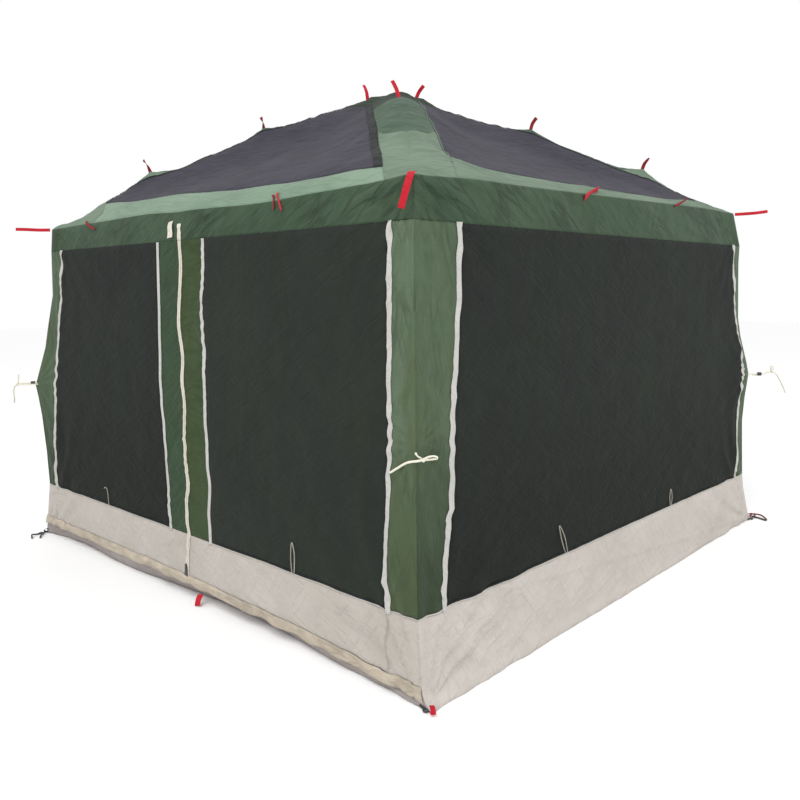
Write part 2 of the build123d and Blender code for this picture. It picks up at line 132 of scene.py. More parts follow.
def add_light(name, place, target, size, power):
    data = bpy.data.lights.new(name, "AREA")
    data.size = size
    data.energy = power
    light = bpy.data.objects.new(name, data)
    light.location = place
    light.rotation_euler = (Vector(target) - Vector(place)).to_track_quat("-Z", "Y").to_euler()
    bpy.context.scene.collection.objects.link(light)


def add_studio():
    world = bpy.data.worlds.new("world")
    world.use_nodes = True
    world.node_tree.nodes["Background"].inputs["Color"].default_value = (1, 1, 1, 1)
    world.node_tree.nodes["Background"].inputs["Strength"].default_value = 1.0
    bpy.context.scene.world = world
    bpy.context.scene.view_settings.view_transform = "Standard"
    add_light("key", (2.0, -5.0, 6.5), (0, 0, 1), 5.0, 260)
    add_light("fill", (6.0, 1.0, 4.0), (0, 0, 1), 4.0, 90)
    bpy.ops.mesh.primitive_plane_add(size=60, location=(0, 0, -0.002))
    floor = bpy.context.object
    floor.name = "floor"
    floor.data.materials.append(plain("floor", (0.97, 0.97, 0.97), 0.9))


# ---------------------------------------------------------------- materials


class Nodes:
    """A small helper that wires a material's nodes."""

    def __init__(self, name):
        self.material = bpy.data.materials.new(name)
        self.material.use_nodes = True
        self.tree = self.material.node_tree
        self.shader = self.tree.nodes["Principled BSDF"]

    def node(self, kind, values=None, links=None, **settings):
        new = self.tree.nodes.new(kind)
        for key, value in settings.items():
            setattr(new, key, value)
        for key, value in (values or {}).items():
            new.inputs[key].default_value = value
        for key, source in (links or {}).items():
            self.tree.links.new(source, new.inputs[key])
        return new

    def maths(self, operation, first, second=None):
        """The result of a sum on two values, each a number or an output."""
        new = self.node("ShaderNodeMath", operation=operation)
        for socket, value in zip(new.inputs, (first, second)):
            if isinstance(value, (int, float)):
                socket.default_value = value
            elif value is not None:
                self.tree.links.new(value, socket)
        return new.outputs[0]

    def link(self, source, socket):
        self.tree.links.new(source, self.shader.inputs[socket])

    def noise(self, vector, scale, detail=3.0, rough=0.5):
        values = {"Scale": scale, "Detail": detail, "Roughness": rough}
        return self.node("ShaderNodeTexNoise", values, {"Vector": vector}).outputs["Fac"]

    def mix(self, factor, first, second):
        new = self.node("ShaderNodeMix", data_type="RGBA")
        self.tree.links.new(factor, new.inputs["Factor"])
        for socket, value in ((6, first), (7, second)):
            if isinstance(value, tuple):
                new.inputs[socket].default_value = (*value, 1)
            else:
                self.tree.links.new(value, new.inputs[socket])
        return new.outputs[2]

    def ramp(self, factor, low, high):
        """Stretches a factor so that low becomes 0 and high becomes 1."""
        values = {"From Min": low, "From Max": high}
        return self.node("ShaderNodeMapRange", values, {"Value": factor}).outputs["Result"]

    def roughness(self, factor, low, high):
        values = {"To Min": low, "To Max": high}
        self.link(self.node("ShaderNodeMapRange", values, {"Value": factor}).outputs["Result"], "Roughness")

    def bump(self, heights):
        """Chains bumps, each (height output, strength, distance), into the normal."""
        normal = None
        for height, strength, distance in heights:
            links = {"Height": height}
            if normal:
                links["Normal"] = normal
            values = {"Strength": strength, "Distance": distance}
            normal = self.node("ShaderNodeBump", values, links).outputs["Normal"]
        self.link(normal, "Normal")


def plain(name, colour, rough):
    made = Nodes(name)
    made.shader.inputs["Base Color"].default_value = (*colour, 1)
    made.shader.inputs["Roughness"].default_value = rough
    return made.material


def cloth(name, colour, second, weave=700.0, rough=0.75, sheen=0.15, mottle=2.4, streak=None, low=None,
          lines=0.0, angles=(30, -30)):
    """Woven cloth: threads both ways, soft mottling between two colours, fine creases and shade painted along
    them.

    A low colour takes over below waist height. Lines is how dark the shade painted along the creases is, and
    angles which ways they run in degrees. The pattern is laid out from the front right and back left corners,
    mirrored about them.
    """
    made = Nodes(name)
    place = made.node("ShaderNodeTexCoord").outputs["Object"]
    parts = made.node("ShaderNodeSeparateXYZ", links={"Vector": place})
    away = made.maths("ABSOLUTE", made.maths("ADD", parts.outputs["X"], parts.outputs["Y"]))
    flat = made.node("ShaderNodeCombineXYZ", links={"X": away, "Y": parts.outputs["Z"]}).outputs[0]
    threads = []
    for direction in ("X", "Y"):
        values = {"Scale": weave / 20.0, "Distortion": 0.4, "Detail": 1.0, "Detail Scale": 2.0}
        bands = {"wave_type": "BANDS", "bands_direction": direction}
        wave = made.node("ShaderNodeTexWave", values, {"Vector": flat}, **bands)
        threads.append(wave.outputs["Fac"])
    knit = made.maths("MULTIPLY", *threads)
    broad = made.ramp(made.noise(place, mottle, 4.0, 0.6), 0.32, 0.68)
    tone = made.mix(broad, colour, second)
    if streak:
        stretch = made.node("ShaderNodeMapping", {"Scale": (5.0, 5.0, 0.9)}, {"Vector": place}).outputs[0]
        tone = made.mix(made.ramp(made.noise(stretch, 1.6, 3.0, 0.6), 0.5, 0.75), tone, streak)
    if low:
        drift = made.maths("MULTIPLY", made.noise(place, 3.0, 3.0), 0.35)
        height = made.maths("ADD", parts.outputs["Z"], drift)
        tone = made.mix(made.ramp(height, 0.70, 1.15), low, tone)
    wrinkles = []
    for turn in angles:
        values = {"Rotation": (0, 0, math.radians(turn)), "Scale": (0.50, 0.075, 1.0)}
        drawn = made.node("ShaderNodeMapping", values, {"Vector": flat}, vector_type="TEXTURE").outputs[0]
        off_line = made.maths("ABSOLUTE", made.maths("SUBTRACT", made.noise(drawn, 1.0, 3.0, 0.55), 0.5))
        wrinkles.append(made.ramp(off_line, 0.0, 0.05))
    crease = made.maths("MULTIPLY", *wrinkles)
    # Painted shade: the colour darkens along the crease lines, patch by patch.
    if lines:
        patch = made.ramp(made.noise(place, 3.5, 2.0), 0.40, 0.62)
        crease_shade_mask = made.maths("MULTIPLY", made.maths("MULTIPLY", made.ramp(crease, 1.0, 0.0), patch), lines)
        tone = made.mix(crease_shade_mask, tone, tuple(c * 0.35 for c in colour))
    made.link(made.mix(made.ramp(knit, -1.2, 1.0), tuple(c * 0.8 for c in colour), tone), "Base Color")
    made.roughness(made.noise(place, 14.0, 3.0), rough - 0.08, rough + 0.1)
    made.shader.inputs["Sheen Weight"].default_value = sheen
    made.shader.inputs["Sheen Roughness"].default_value = 0.5
    made.shader.inputs["Specular IOR Level"].default_value = 0.25
    creases = made.noise(place, 22.0, 5.0, 0.62)
    soft = made.noise(place, 6.0, 4.0, 0.55)
    made.bump([(soft, 0.5, 0.02), (crease, 0.4, 0.006), (creases, 0.45, 0.010), (knit, 0.25, 0.0006)])
    return made.material


def hard(name, colour, rough, metal=0.0, coat=0.0):
    """Moulded plastic or metal with a fine grain and slight wear in its gloss."""
    grain = 180.0
    made = Nodes(name)
    place = made.node("ShaderNodeTexCoord").outputs["Object"]
    wear = made.ramp(made.noise(place, 9.0, 5.0, 0.65), 0.35, 0.7)
    made.link(made.mix(wear, colour, tuple(min(1, c * 1.35 + 0.01) for c in colour)), "Base Color")
    made.roughness(wear, rough, rough + 0.15)
    made.shader.inputs["Metallic"].default_value = metal
    made.shader.inputs["Coat Weight"].default_value = coat
    made.bump([(made.noise(place, grain, 2.0), 0.15, 0.001)])
    return made.material


GREEN = cloth(
    "green_cloth", (0.060, 0.097, 0.051), (0.118, 0.164, 0.106), sheen=0.05, streak=(0.058, 0.078, 0.022),
    low=(0.050, 0.070, 0.026), lines=0.6, angles=(72, -78),
)
GREEN_SHADED = cloth(
    "green_cloth_shaded", (0.050, 0.084, 0.042), (0.084, 0.124, 0.072), sheen=0.05,
    streak=(0.050, 0.066, 0.020), low=(0.015, 0.025, 0.009), lines=0.6, angles=(72, -78),
)
# Painted shade: a darker copy of the green cloth, used for the valances.
SHADED_VALANCE = cloth(
    "shaded_valance_cloth", (0.030, 0.060, 0.031), (0.050, 0.084, 0.048), sheen=0.03, streak=(0.032, 0.054, 0.024),
    lines=0.8, angles=(-40, -22),
)
LEAF_GREEN = cloth(
    "leaf_green", (0.016, 0.044, 0.016), (0.034, 0.060, 0.030), sheen=0.03, streak=(0.028, 0.048, 0.010),
    lines=0.5, angles=(-24, -40),
)
LEAF_YELLOW = cloth(
    "leaf_yellow", (0.024, 0.050, 0.012), (0.036, 0.060, 0.022), sheen=0.03, streak=(0.036, 0.052, 0.008),
    lines=0.5, angles=(12, -10),
)
# Painted light: a lighter copy of the green cloth, standing in for sky light on the upward-facing eave bands,
# lower hip bands and one roof hem.
SKY_LIT_GREEN = cloth(
    "light_green_cloth", (0.096, 0.150, 0.098), (0.138, 0.198, 0.136), sheen=0.05, rough=0.65, lines=0.35,
    angles=(6, -6),
)
# Painted light: a lighter copy still of the green cloth, for the front eave band.
SKY_LIT_EAVE_GREEN = cloth(
    "sky_lit_eave_green_cloth", (0.138, 0.215, 0.146), (0.195, 0.280, 0.200), sheen=0.05, rough=0.6, lines=0.3,
    angles=(8, -8),
)
# Painted shade: darker copies of the green cloth for the upper hip bands and the cap, the darkest near the
# peak.
HIP_SHADED_GREEN = cloth(
    "shaded_hip_middle_cloth", (0.036, 0.074, 0.042), (0.066, 0.110, 0.070), sheen=0.03, lines=0.4,
    angles=(14, -14),
)
HIP_DEEP_SHADED_GREEN = cloth(
    "deep_shaded_hip_cloth", (0.008, 0.020, 0.010), (0.018, 0.036, 0.020), sheen=0.02, lines=0.5,
    angles=(20, -20),
)
WINDOW = cloth(
    "window_mesh", (0.0095, 0.0118, 0.0104), (0.0130, 0.0172, 0.0132), weave=1400, rough=0.9, sheen=0.01,
    streak=(0.0135, 0.0210, 0.0120), low=(0.0070, 0.0100, 0.0068),
)
DOOR_WINDOW = cloth(
    "door_window_mesh", (0.0135, 0.0170, 0.0136), (0.0180, 0.0235, 0.0175), weave=1400, rough=0.9,
    sheen=0.01, streak=(0.0170, 0.0250, 0.0150),
)
ROOF_MESH = cloth(
    "roof_mesh", (0.030, 0.0285, 0.0410), (0.048, 0.0460, 0.0620), weave=1400, rough=0.8, sheen=0.01,
    mottle=4, lines=0.4, angles=(6, -6),
)
HEM = cloth("hem_cloth", (0.010, 0.012, 0.013), (0.015, 0.018, 0.018), rough=0.8, sheen=0.02)
SKIRT = cloth(
    "skirt_cloth", (0.420, 0.382, 0.340), (0.520, 0.480, 0.440), weave=1800, rough=0.55, sheen=0.05,
    mottle=3.5, lines=0.07, angles=(-55, 20),
)
# Painted light: a lighter copy of the skirt cloth, for the right, back and left walls.
SKIRT_LIT = cloth(
    "lit_skirt_cloth", (0.450, 0.412, 0.372), (0.560, 0.520, 0.480), weave=1800, rough=0.5, sheen=0.05,
    mottle=3.5, lines=0.08, angles=(-52, 18),
)
BINDING = cloth("binding_cloth", (0.470, 0.450, 0.410), (0.540, 0.520, 0.480), rough=0.6, sheen=0.03)
FLAP = cloth(
    "flap_cloth", (0.400, 0.345, 0.270), (0.620, 0.540, 0.430), rough=0.7, sheen=0.05, mottle=11,
    lines=0.35, angles=(12, -12),
)
SHADE_CLOTH = cloth(
    "under_cloth", (0.300, 0.262, 0.250), (0.400, 0.360, 0.345), rough=0.7, sheen=0.05, mottle=5, lines=0.3,
    angles=(10, -10),
)
TAPE = cloth("grey_tape", (0.440, 0.430, 0.405), (0.560, 0.545, 0.520), weave=2600, mottle=8, sheen=0.05)
ZIP = cloth("cream_tape", (0.560, 0.520, 0.440), (0.680, 0.645, 0.570), weave=2600, mottle=9, sheen=0.05)
RED = cloth(
    "red_webbing", (0.430, 0.006, 0.018), (0.540, 0.010, 0.028), weave=2600, rough=0.7, mottle=9, sheen=0.0,
)
# Painted shade: a darker copy of the red webbing, used on most tabs, two ground loops and a hook end.
SHADED_RED = cloth(
    "shaded_red_webbing", (0.150, 0.004, 0.010), (0.270, 0.006, 0.016), weave=2600, rough=0.7, mottle=9,
    sheen=0.0,
)
CORD = cloth("cream_cord", (0.760, 0.730, 0.600), (0.840, 0.810, 0.700), weave=3000, mottle=20, sheen=0.05)
LOOP = cloth("loop_cord", (0.330, 0.310, 0.260), (0.420, 0.400, 0.340), weave=3000, mottle=20)
BLACK = hard("black_plastic", (0.018, 0.018, 0.019), 0.45, coat=0.1)
TUBE = hard("tube_steel", (0.40, 0.41, 0.42), 0.38, metal=0.85)
PIN = hard("pin_steel", (0.55, 0.55, 0.56), 0.25, metal=1.0)
RUBBER = hard("foot_rubber", (0.035, 0.035, 0.035), 0.75)

NODE_MATERIALS = {
    "hub": BLACK,
    "hub_cap": BLACK,
    "eave_elbows": BLACK,
    "leg_collars": BLACK,
    "clamp_lever": BLACK,
    "peg_plates": BLACK,
    "upper_rafters": TUBE,
    "lower_rafters": TUBE,
    "rafter_ferrules": PIN,
    "upper_legs": TUBE,
    "lower_leg": TUBE,
    "lever_pins": PIN,
    "foot": RUBBER,
    "door_slider": BLACK,
    "slider_pull": BLACK,
}


def finish_cad_nodes():
    for node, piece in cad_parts.items():
        for start, look in NODE_MATERIALS.items():
            if node == start or node.startswith(start + "_"):
                piece.data.materials.clear()
                piece.data.materials.append(look)


# ---------------------------------------------------------------- the wall surfaces

# Height, and how far the corner seam stands out or in there, along both X and Y: pointed at the tie
PULLED = [
    (1.853, 0.0), (1.70, -0.010), (1.45, -0.015), (1.252, 0.006), (1.142, 0.016), (0.945, 0.052),
    (0.915, 0.058), (0.853, 0.048), (0.731, 0.032), (0.516, 0.013), (0.308, 0.0),
]
PULL = {
    "front_right": [(1.853, 0.0), (1.45, -0.004), (0.93, 0.008), (0.60, 0.003), (0.308, 0.0)],
    "back_right": [
        (1.853, 0.0), (1.60, -0.015), (1.269, -0.020), (1.161, -0.011), (0.997, 0.014), (0.930, 0.0215),
        (0.857, 0.0125), (0.785, 0.003), (0.642, -0.0095), (0.225, -0.014), (0.0, 0.0),
    ],
    "back_left": PULLED,
    "front_left": PULLED,
}
# How far a ground corner stands out of square, and the share of that in its last few centimetres
FEET = {
    "front_right": ((0.075, -0.013), 0.7),
    "back_right": ((0.0, 0.090), 0.5),
    "front_left": ((-0.006, -0.016), 0.0),
}
# How far the fold at the eave stands off at each corner, and how much higher it is along a wall
EAVE_CORNERS = {
    "front_right": (0, 0, 0.0),
    "back_right": (-0.035, -0.035, 0.040),
    "back_left": (0, 0, 0),
    "front_left": (0.012, 0.012, -0.024),
}
EAVE_RISE = {
    "front": [
        (1.45, 0.0), (1.20, -0.011), (1.00, -0.016), (0.60, -0.024), (0.0, -0.008), (-0.40, 0.006),
        (-1.0, 0.004), (-1.45, 0.0),
    ],
    "right": [(1.45, 0.0), (0.90, 0.006), (0.30, 0.006), (-0.60, 0.008), (-1.10, 0.010), (-1.45, 0.0)],
}

# Height and metres across of the middle of each tape beside a window, and of the door zip
SEAM_LINES = {
    "front": {
        "left_outer": [(1.70, -1.298), (1.02, -1.352), (0.98, -1.349), (0.93, -1.358), (0.31, -1.419)],
        "left_inner": [
            (1.717, -0.229), (1.36, -0.228), (1.06, -0.226), (0.93, -0.213), (0.80, -0.190), (0.65, -0.170),
            (0.42, -0.147), (0.308, -0.129),
        ],
        "zip": [
            (1.79, -0.037), (1.58, -0.023), (1.32, -0.050), (1.14, -0.019), (1.05, -0.026), (0.92, -0.002),
            (0.80, -0.007), (0.66, 0.005), (0.56, 0.028), (0.46, 0.010), (0.38, 0.017), (0.30, 0.037),
            (0.10, 0.039),
        ],
        "right_inner": [
            (1.70, 0.165), (1.56, 0.164), (1.40, 0.147), (1.28, 0.154), (1.17, 0.166), (1.09, 0.160),
            (0.90, 0.172), (0.75, 0.186), (0.68, 0.190), (0.57, 0.210), (0.45, 0.205), (0.36, 0.215),
            (0.308, 0.218),
        ],
        "right_outer": [
            (1.70, 1.346), (1.47, 1.350), (1.20, 1.355), (1.09, 1.356), (0.94, 1.369), (0.65, 1.366),
            (0.59, 1.359), (0.41, 1.356), (0.36, 1.378), (0.30, 1.382),
        ],
    },
    "right": {
        "near": [
            (1.71, -1.211), (1.45, -1.223), (1.32, -1.245), (1.20, -1.262), (1.08, -1.284), (0.93, -1.304),
            (0.81, -1.306), (0.67, -1.314), (0.63, -1.335), (0.43, -1.372), (0.385, -1.384), (0.31, -1.376),
        ],
        "far": [
            (1.73, 1.331), (1.38, 1.360), (1.20, 1.405), (1.08, 1.440), (0.90, 1.432), (0.655, 1.405),
            (0.32, 1.375),
        ],
    },
    "back": {
        "a": [(1.70, -1.270), (1.30, -1.290), (0.95, -1.330), (0.60, -1.320), (0.31, -1.345)],
        "b": [(1.70, 1.268), (1.20, 1.300), (0.93, 1.335), (0.60, 1.322), (0.31, 1.340)],
    },
    "left": {
        "a": [(1.70, -1.266), (1.25, -1.290), (0.94, -1.332), (0.60, -1.325), (0.31, -1.342)],
        "b": [(1.70, 1.270), (1.30, 1.300), (0.93, 1.330), (0.60, 1.325), (0.31, 1.345)],
    },
}


def half_width(z):
    return BASE + (EAVE - BASE) * z / EAVE_Z


def corner_at(corner, z):
    place = Vector(CORNERS[corner]) * half_width(z)
    if corner in FEET:
        foot, late = FEET[corner]
        place += Vector(foot) * ((1 - late) * clamp(1 - z / SKIRT_Z) + late * math.exp(-z / 0.02))
    return place


def pull_fade(distance):
    """How much of a corner's pull is left at a distance along the wall."""
    distance = abs(distance)
    return 0.5 * math.exp(-distance / 0.09) + 0.5 * math.exp(-((distance / 0.42) ** 1.3))


def corner_pull(corner, z, distance):
    return Vector(CORNERS[corner]) * straight_line(PULL[corner], z) * pull_fade(distance)


def pulled_share(wall, x, z):
    """The share across a wall of a point that its corner's pull brings to x metres across."""
    sign = -1 if x < 0 else 1
    corner = WALLS[wall][0 if sign < 0 else 1]
    shift = straight_line(PULL[corner], z) * pull_fade(half_width(z) - abs(x))
    return (x - sign * shift) / half_width(z)


def seam(wall, name, z):
    """The share across a wall of a seam beside a window or of the zip, at a height."""
    x = along(SEAM_LINES[wall][name], z)
    if name != "zip":
        x += TAPE_WIDTH / 2 * (1 if (x > 0) == name.endswith("inner") else -1)
    return pulled_share(wall, x, z)


def eave_shift(wall, x):
    """How far the fold at the eave stands off its straight line, at metres across."""
    left, right = (Vector(EAVE_CORNERS[c]) for c in WALLS[wall])
    share_across = clamp((x / EAVE + 1) / 2)
    shift = left.lerp(right, share_across * share_across * (3 - 2 * share_across))
    if wall in EAVE_RISE:
        shift.z += along(EAVE_RISE[wall], x)
    return shift


def fan(x, z, centre, count, height, reach, phase=0.0):
    """Folds that fan out from a pulled point and fade away."""
    dx, dz = x - centre[0], z - centre[1]
    r = math.hypot(dx, dz)
    if r < 1e-6 or r > 6 * reach:
        return 0.0
    angle = math.atan2(dz, dx)
    wave = math.sin(count * angle + phase + 2.5 * noise.noise(Vector((angle * 2, r * 3, phase))))
    return height * wave * r / reach * math.exp(1 - r / reach)


def folds(x, z, angle, width, length, key):
    """Sharp wrinkles of a width and a length that all run at an angle, between 0 and 1."""
    turn = math.radians(angle)
    u = x * math.cos(turn) + z * math.sin(turn)
    v = z * math.cos(turn) - x * math.sin(turn)
    ripple = noise.noise(Vector((u / length, v / width, key)))
    patch = clamp(0.5 + 1.2 * noise.noise(Vector((x * 2.3, z * 2.3, key + 4))))
    return (1 - min(1.0, 3 * abs(ripple))) * patch


def ridge(distance, width):
    """A narrow raised line: 1 on it, fading at its width."""
    return math.exp(-((distance / width) ** 2))


def creases(wall, x, z):
    """How far a wall's cloth stands out of its plane, from its folds and pulls. x is metres across."""
    half = half_width(z)
    key = list(WALLS).index(wall) * 10.0
    out = 0.004 * noise.noise(Vector((x * 1.7, z * 1.7, key)))
    out += 0.0020 * noise.noise(Vector((x * 7.0, z * 7.0, key + 3)))
    slope = 34 if x > 0 else -34
    if z > WINDOW_Z:
        top = clamp((z - WINDOW_Z) / 0.04)
        out += top * 0.0085 * folds(x, z, slope, 0.050, 0.30, key)
        out += top * 0.0050 * folds(x, z, slope * 0.5, 0.035, 0.25, key + 1)
    for sign in (-1, 1):
        edge = sign * half
        out += fan(x, z, (sign * EAVE, EAVE_Z + 0.02), 26, 0.0050, 0.13, key)
        out += fan(x, z, (edge, 0.93), 15, 0.0045, 0.09, key + 1)
        out += fan(x, z, (sign * BASE, 0.0), 18, 0.0065, 0.22, key + 2)
        out += fan(x, z, (sign * 0.87 * half, SKIRT_Z), 12, 0.0028, 0.25, key + 5)
        out += fan(x, z, (sign * 0.87 * half, WINDOW_Z), 12, 0.0012, 0.22, key + 4)
    if half - abs(x) < 0.2 and SKIRT_Z < z < WINDOW_Z:
        fade = clamp((0.2 - half + abs(x)) / 0.05) * clamp((WINDOW_Z - z) / 0.03)
        fade *= clamp((z - SKIRT_Z) / 0.03)
        out += fade * 0.0050 * folds(x, z, 78 if x > 0 else 102, 0.045, 0.35, key + 2)
        out += fade * 0.0045 * folds(x, z, slope, 0.060, 0.30, key + 6)
    if wall == "front" and abs(x) < 0.25 and SKIRT_Z < z < WINDOW_Z:
        fade = 1 - clamp((abs(x) - 0.16) / 0.06)
        out += 0.0055 * fade * folds(x, z, 24 if x < 0 else -12, 0.050, 0.12, 5)
    elif z < WINDOW_Z:
        out += 0.0040 * folds(x, z, slope, 0.060, 0.60, key + 9)
    if z < SKIRT_Z:
        fade = clamp(z / 0.06) * clamp((SKIRT_Z - z) / 0.03)
        out += 0.0060 * fade * folds(x, z, -24 if x > 0 else 24, 0.055, 0.35, key + 8)
        out += 0.0040 * fade * folds(x, z, 70 if x > 0 else 110, 0.045, 0.30, key + 12)
    if wall == "right" and z < SKIRT_Z:
        line = 0.21 - 0.105 * (x + 0.45) + 0.012 * x * x
        out += 0.0050 * ridge(z - line, 0.008) * clamp((x + 1.3) / 0.6)
        out += 0.0045 * math.sin((x + z * 0.9) * 26) * clamp((-0.3 - x) / 0.8) * clamp(z / 0.1)
    billow = -0.012 * math.cos(math.pi / 2 * x / half) * math.sin(math.pi * clamp(z / EAVE_Z))
    near_corner = clamp((half - abs(x)) / 0.06)
    near_eave = clamp((EAVE_Z - z) / 0.03)
    return (out * near_eave + billow) * near_corner


def tuck(wall, share, z):
    """How far the front skirt's hem is folded in under the door wall."""
    if wall != "front" or z > SILL_Z:
        return 0.0
    depth = 0.085 * (1 - share**6) * (0.8 + 0.35 * math.sin(share * 5.2 + 0.6))
    return depth * (1 - z / SILL_Z) ** 1.3


def on_wall(wall, share, z, out=0.0):
    """The point at a share across a wall and a height, out from the cloth's face."""
    left, right = WALLS[wall]
    start, end = corner_at(left, z), corner_at(right, z)
    place = start.lerp(end, (share + 1) / 2)
    length = (end - start).length
    for corner, distance in ((left, (share + 1) / 2 * length), (right, (1 - share) / 2 * length)):
        place += corner_pull(corner, z, distance)
    place = place.to_3d() + Vector((0, 0, z))
    place += eave_shift(wall, share * EAVE) * clamp((z - WINDOW_Z) / (EAVE_Z - WINDOW_Z))
    normal = Vector((*OUTWARD[wall], 0))
    x = share * half_width(z)
    return place + normal * (out + creases(wall, x, z) - tuck(wall, share, z))


# ---------------------------------------------------------------- the roof surface

# Distance from the middle, and the height there of the roof half way along a wall, of the smooth line
# of a hip, and how far the hip stands above that line at its tabs
MIDDLE = [
    (1.45, 1.853), (1.36, 1.922), (1.25, 1.966), (1.0, 2.065), (0.60, 2.262), (0.25, 2.452), (0.0, 2.585),
]
HIP = [
    (1.45, 1.853), (1.30, 1.930), (1.175, 2.000), (1.02, 2.095), (0.90, 2.165), (0.80, 2.222),
    (0.68, 2.287), (0.55, 2.360), (0.45, 2.410), (0.34, 2.452), (0.22, 2.500), (0.105, 2.545), (0.0, 2.590),
]
HIP_PEAKS = [(1.02, 0.058, 0.15), (0.55, 0.036, 0.12), (0.105, 0.018, 0.08)]
# How much lower or higher one corner's hip is
HIP_OFFSET = {
    "back_right": [(0.62, 0.0), (0.47, -0.022), (0.33, -0.036), (0.19, -0.034), (0.10, -0.012), (0.0, 0.0)],
    "front_left": [(1.45, 0.0), (1.38, -0.030), (1.28, -0.036), (1.18, -0.010), (1.09, 0.0)],
    "front_right": [(1.17, 0.0), (1.02, -0.050), (0.87, 0.0), (0.67, 0.0), (0.55, -0.030), (0.43, 0.0)],
}
HIP_SPREAD = 0.17
RIDGE_SLOPE, RIDGE_ROUND = 0.5, 0.07
MESH_HIGH = 0.25
# Metres across, and the distance from the middle of a roof mesh's lower edge
MESH_LOW = {
    "front": [(1.2, 1.375), (0.8, 1.368), (0.35, 1.352), (-0.4, 1.305), (-1.1, 1.300)],
    "right": [(1.2, 1.330), (0.4, 1.338), (-0.6, 1.342), (-0.9, 1.325), (-1.0, 1.300), (-1.1, 1.265)],
    "back": [(1.2, 1.36), (-1.2, 1.36)],
    "left": [(1.2, 1.36), (-1.2, 1.36)],
}
# Distance from the middle, and the width of a hip band on one side of its hip
BAND_USUAL = [(1.45, 0.32), (1.25, 0.14), (1.02, 0.12), (0.55, 0.10), (0.25, 0.08)]
BAND = {
    ("front", -1): [
        (1.45, 0.52), (1.385, 0.47), (1.28, 0.22), (1.18, 0.10), (1.02, 0.10), (0.55, 0.07), (0.25, 0.06),
    ],
    ("front", 1): [(1.45, 0.140), (0.25, 0.215)],
    ("right", -1): [(1.45, 0.235), (0.25, 0.150)],
    ("right", 1): [
        (1.45, 0.30), (1.32, 0.24), (1.22, 0.15), (1.02, 0.15), (0.80, 0.12), (0.60, 0.10), (0.48, 0.06),
        (0.25, 0.06),
    ],
}


def eased(points, s, ease):
    """The value on a line at a distance from the middle, its corners rounded over a distance."""
    return sum(straight_line(points, clamp(s + d, 0, EAVE)) for d in (-ease, 0, ease)) / 3


def hip_line(corner, s):
    """The smooth line that a hip would follow without its tabs."""
    offset = 0.0
    if corner in HIP_OFFSET:
        points = HIP_OFFSET[corner]
        offset = straight_line(points, clamp(s, 0, points[0][0]))
    return offset + eased(HIP, s, 0.012)


def hip_peak(s):
    return sum(rise * clamp(1 - abs(s - at_s) / width) ** 1.6 for at_s, rise, width in HIP_PEAKS)


def middle_height(s):
    ease = 0.05
    return eased(MIDDLE, s, ease) if ease < s < EAVE - ease else straight_line(MIDDLE, s)


def roof_creases(wall, s, x):
    key = list(WALLS).index(wall) * 10.0
    slack = clamp((EAVE - s) / 0.05) * clamp(s / 0.15)
    out = 0.006 * noise.noise(Vector((x * 2.2, s * 2.2, key + 7)))
    near = math.exp(-((s - abs(x)) / 0.40))
    out += 0.0070 * near * folds(x, s, 4, 0.045, 0.45, key + 3)
    out += 0.0055 * folds(x, s, -7 if x > 0 else 7, 0.050, 0.8, key + 2)
    return out * slack


def on_roof(wall, s, x, out=0.0):
    """The point at a distance s from the middle and x across one quarter of the roof."""
    off, down = (s - abs(x)) / 2, (s + abs(x)) / 2  # off the hip line, and down along it
    middle = middle_height(s)
    first, second = (hip_line(corner, clamp(down, 0, EAVE)) for corner in WALLS[wall])
    share_across = clamp(x / max(s, 0.01) + 0.5)
    smooth = first + (second - first) * share_across * share_across * (3 - 2 * share_across)
    lift = smooth - middle_height(down) + RIDGE_SLOPE * RIDGE_ROUND
    z = lift * math.exp(-((off / HIP_SPREAD) ** 2)) + RIDGE_SLOPE * (off - math.hypot(off, RIDGE_ROUND))
    z += hip_peak(down) * math.exp(-((off / 0.06) ** 2))
    z = middle + z * clamp((EAVE - s) / 0.10)
    ox, oy = OUTWARD[wall]
    place = Vector((ox * s - oy * x, oy * s + ox * x, z + out))
    place.z += roof_creases(wall, s, x) * clamp(2 * off / 0.03)
    return place + eave_shift(wall, x / max(s, 0.01) * EAVE) * clamp(1 - (EAVE - s) / 0.20) ** 2


def band_width(wall, side, s):
    """Width of the hip band at one end of a roof quarter, side -1 for its left end."""
    return straight_line(BAND.get((wall, side), BAND_USUAL), s)


# ---------------------------------------------------------------- meshes


def new_piece(name, verts, faces, looks, indices=None):
    mesh = bpy.data.meshes.new(name)
    mesh.from_pydata(verts, [], faces)
    for look in looks:
        mesh.materials.append(look)
    mesh.polygons.foreach_set("use_smooth", [True] * len(faces))
    if indices:
        mesh.polygons.foreach_set("material_index", indices)
    piece = bpy.data.objects.new(name, mesh)
    bpy.context.scene.collection.objects.link(piece)
    return piece


def grid_faces(columns, rows, start=0):
    return [
        (start + r * columns + c, start + r * columns + c + 1, start + (r + 1) * columns + c + 1,
         start + (r + 1) * columns + c)
        for r in range(rows - 1)
        for c in range(columns - 1)
    ]


def grid(point, columns, rows):
    """Vertices of a grid from a function of u and v, each 0 to 1."""
    return [point(c / (columns - 1), r / (rows - 1)) for r in range(rows) for c in range(columns)]


def apply_all(piece):
    """Bakes a piece's modifiers into its mesh."""
    graph = bpy.context.evaluated_depsgraph_get()
    mesh = bpy.data.meshes.new_from_object(piece.evaluated_get(graph))
    piece.modifiers.clear()
    piece.data = mesh


def thicken(piece, thickness=CLOTH, offset=-1.0):
    faces = len(piece.data.polygons)
    solid = piece.modifiers.new("thickness", "SOLIDIFY")
    solid.thickness = thickness
    solid.offset = offset
    apply_all(piece)
    for face in piece.data.polygons[2 * faces:]:
        face.use_smooth = False


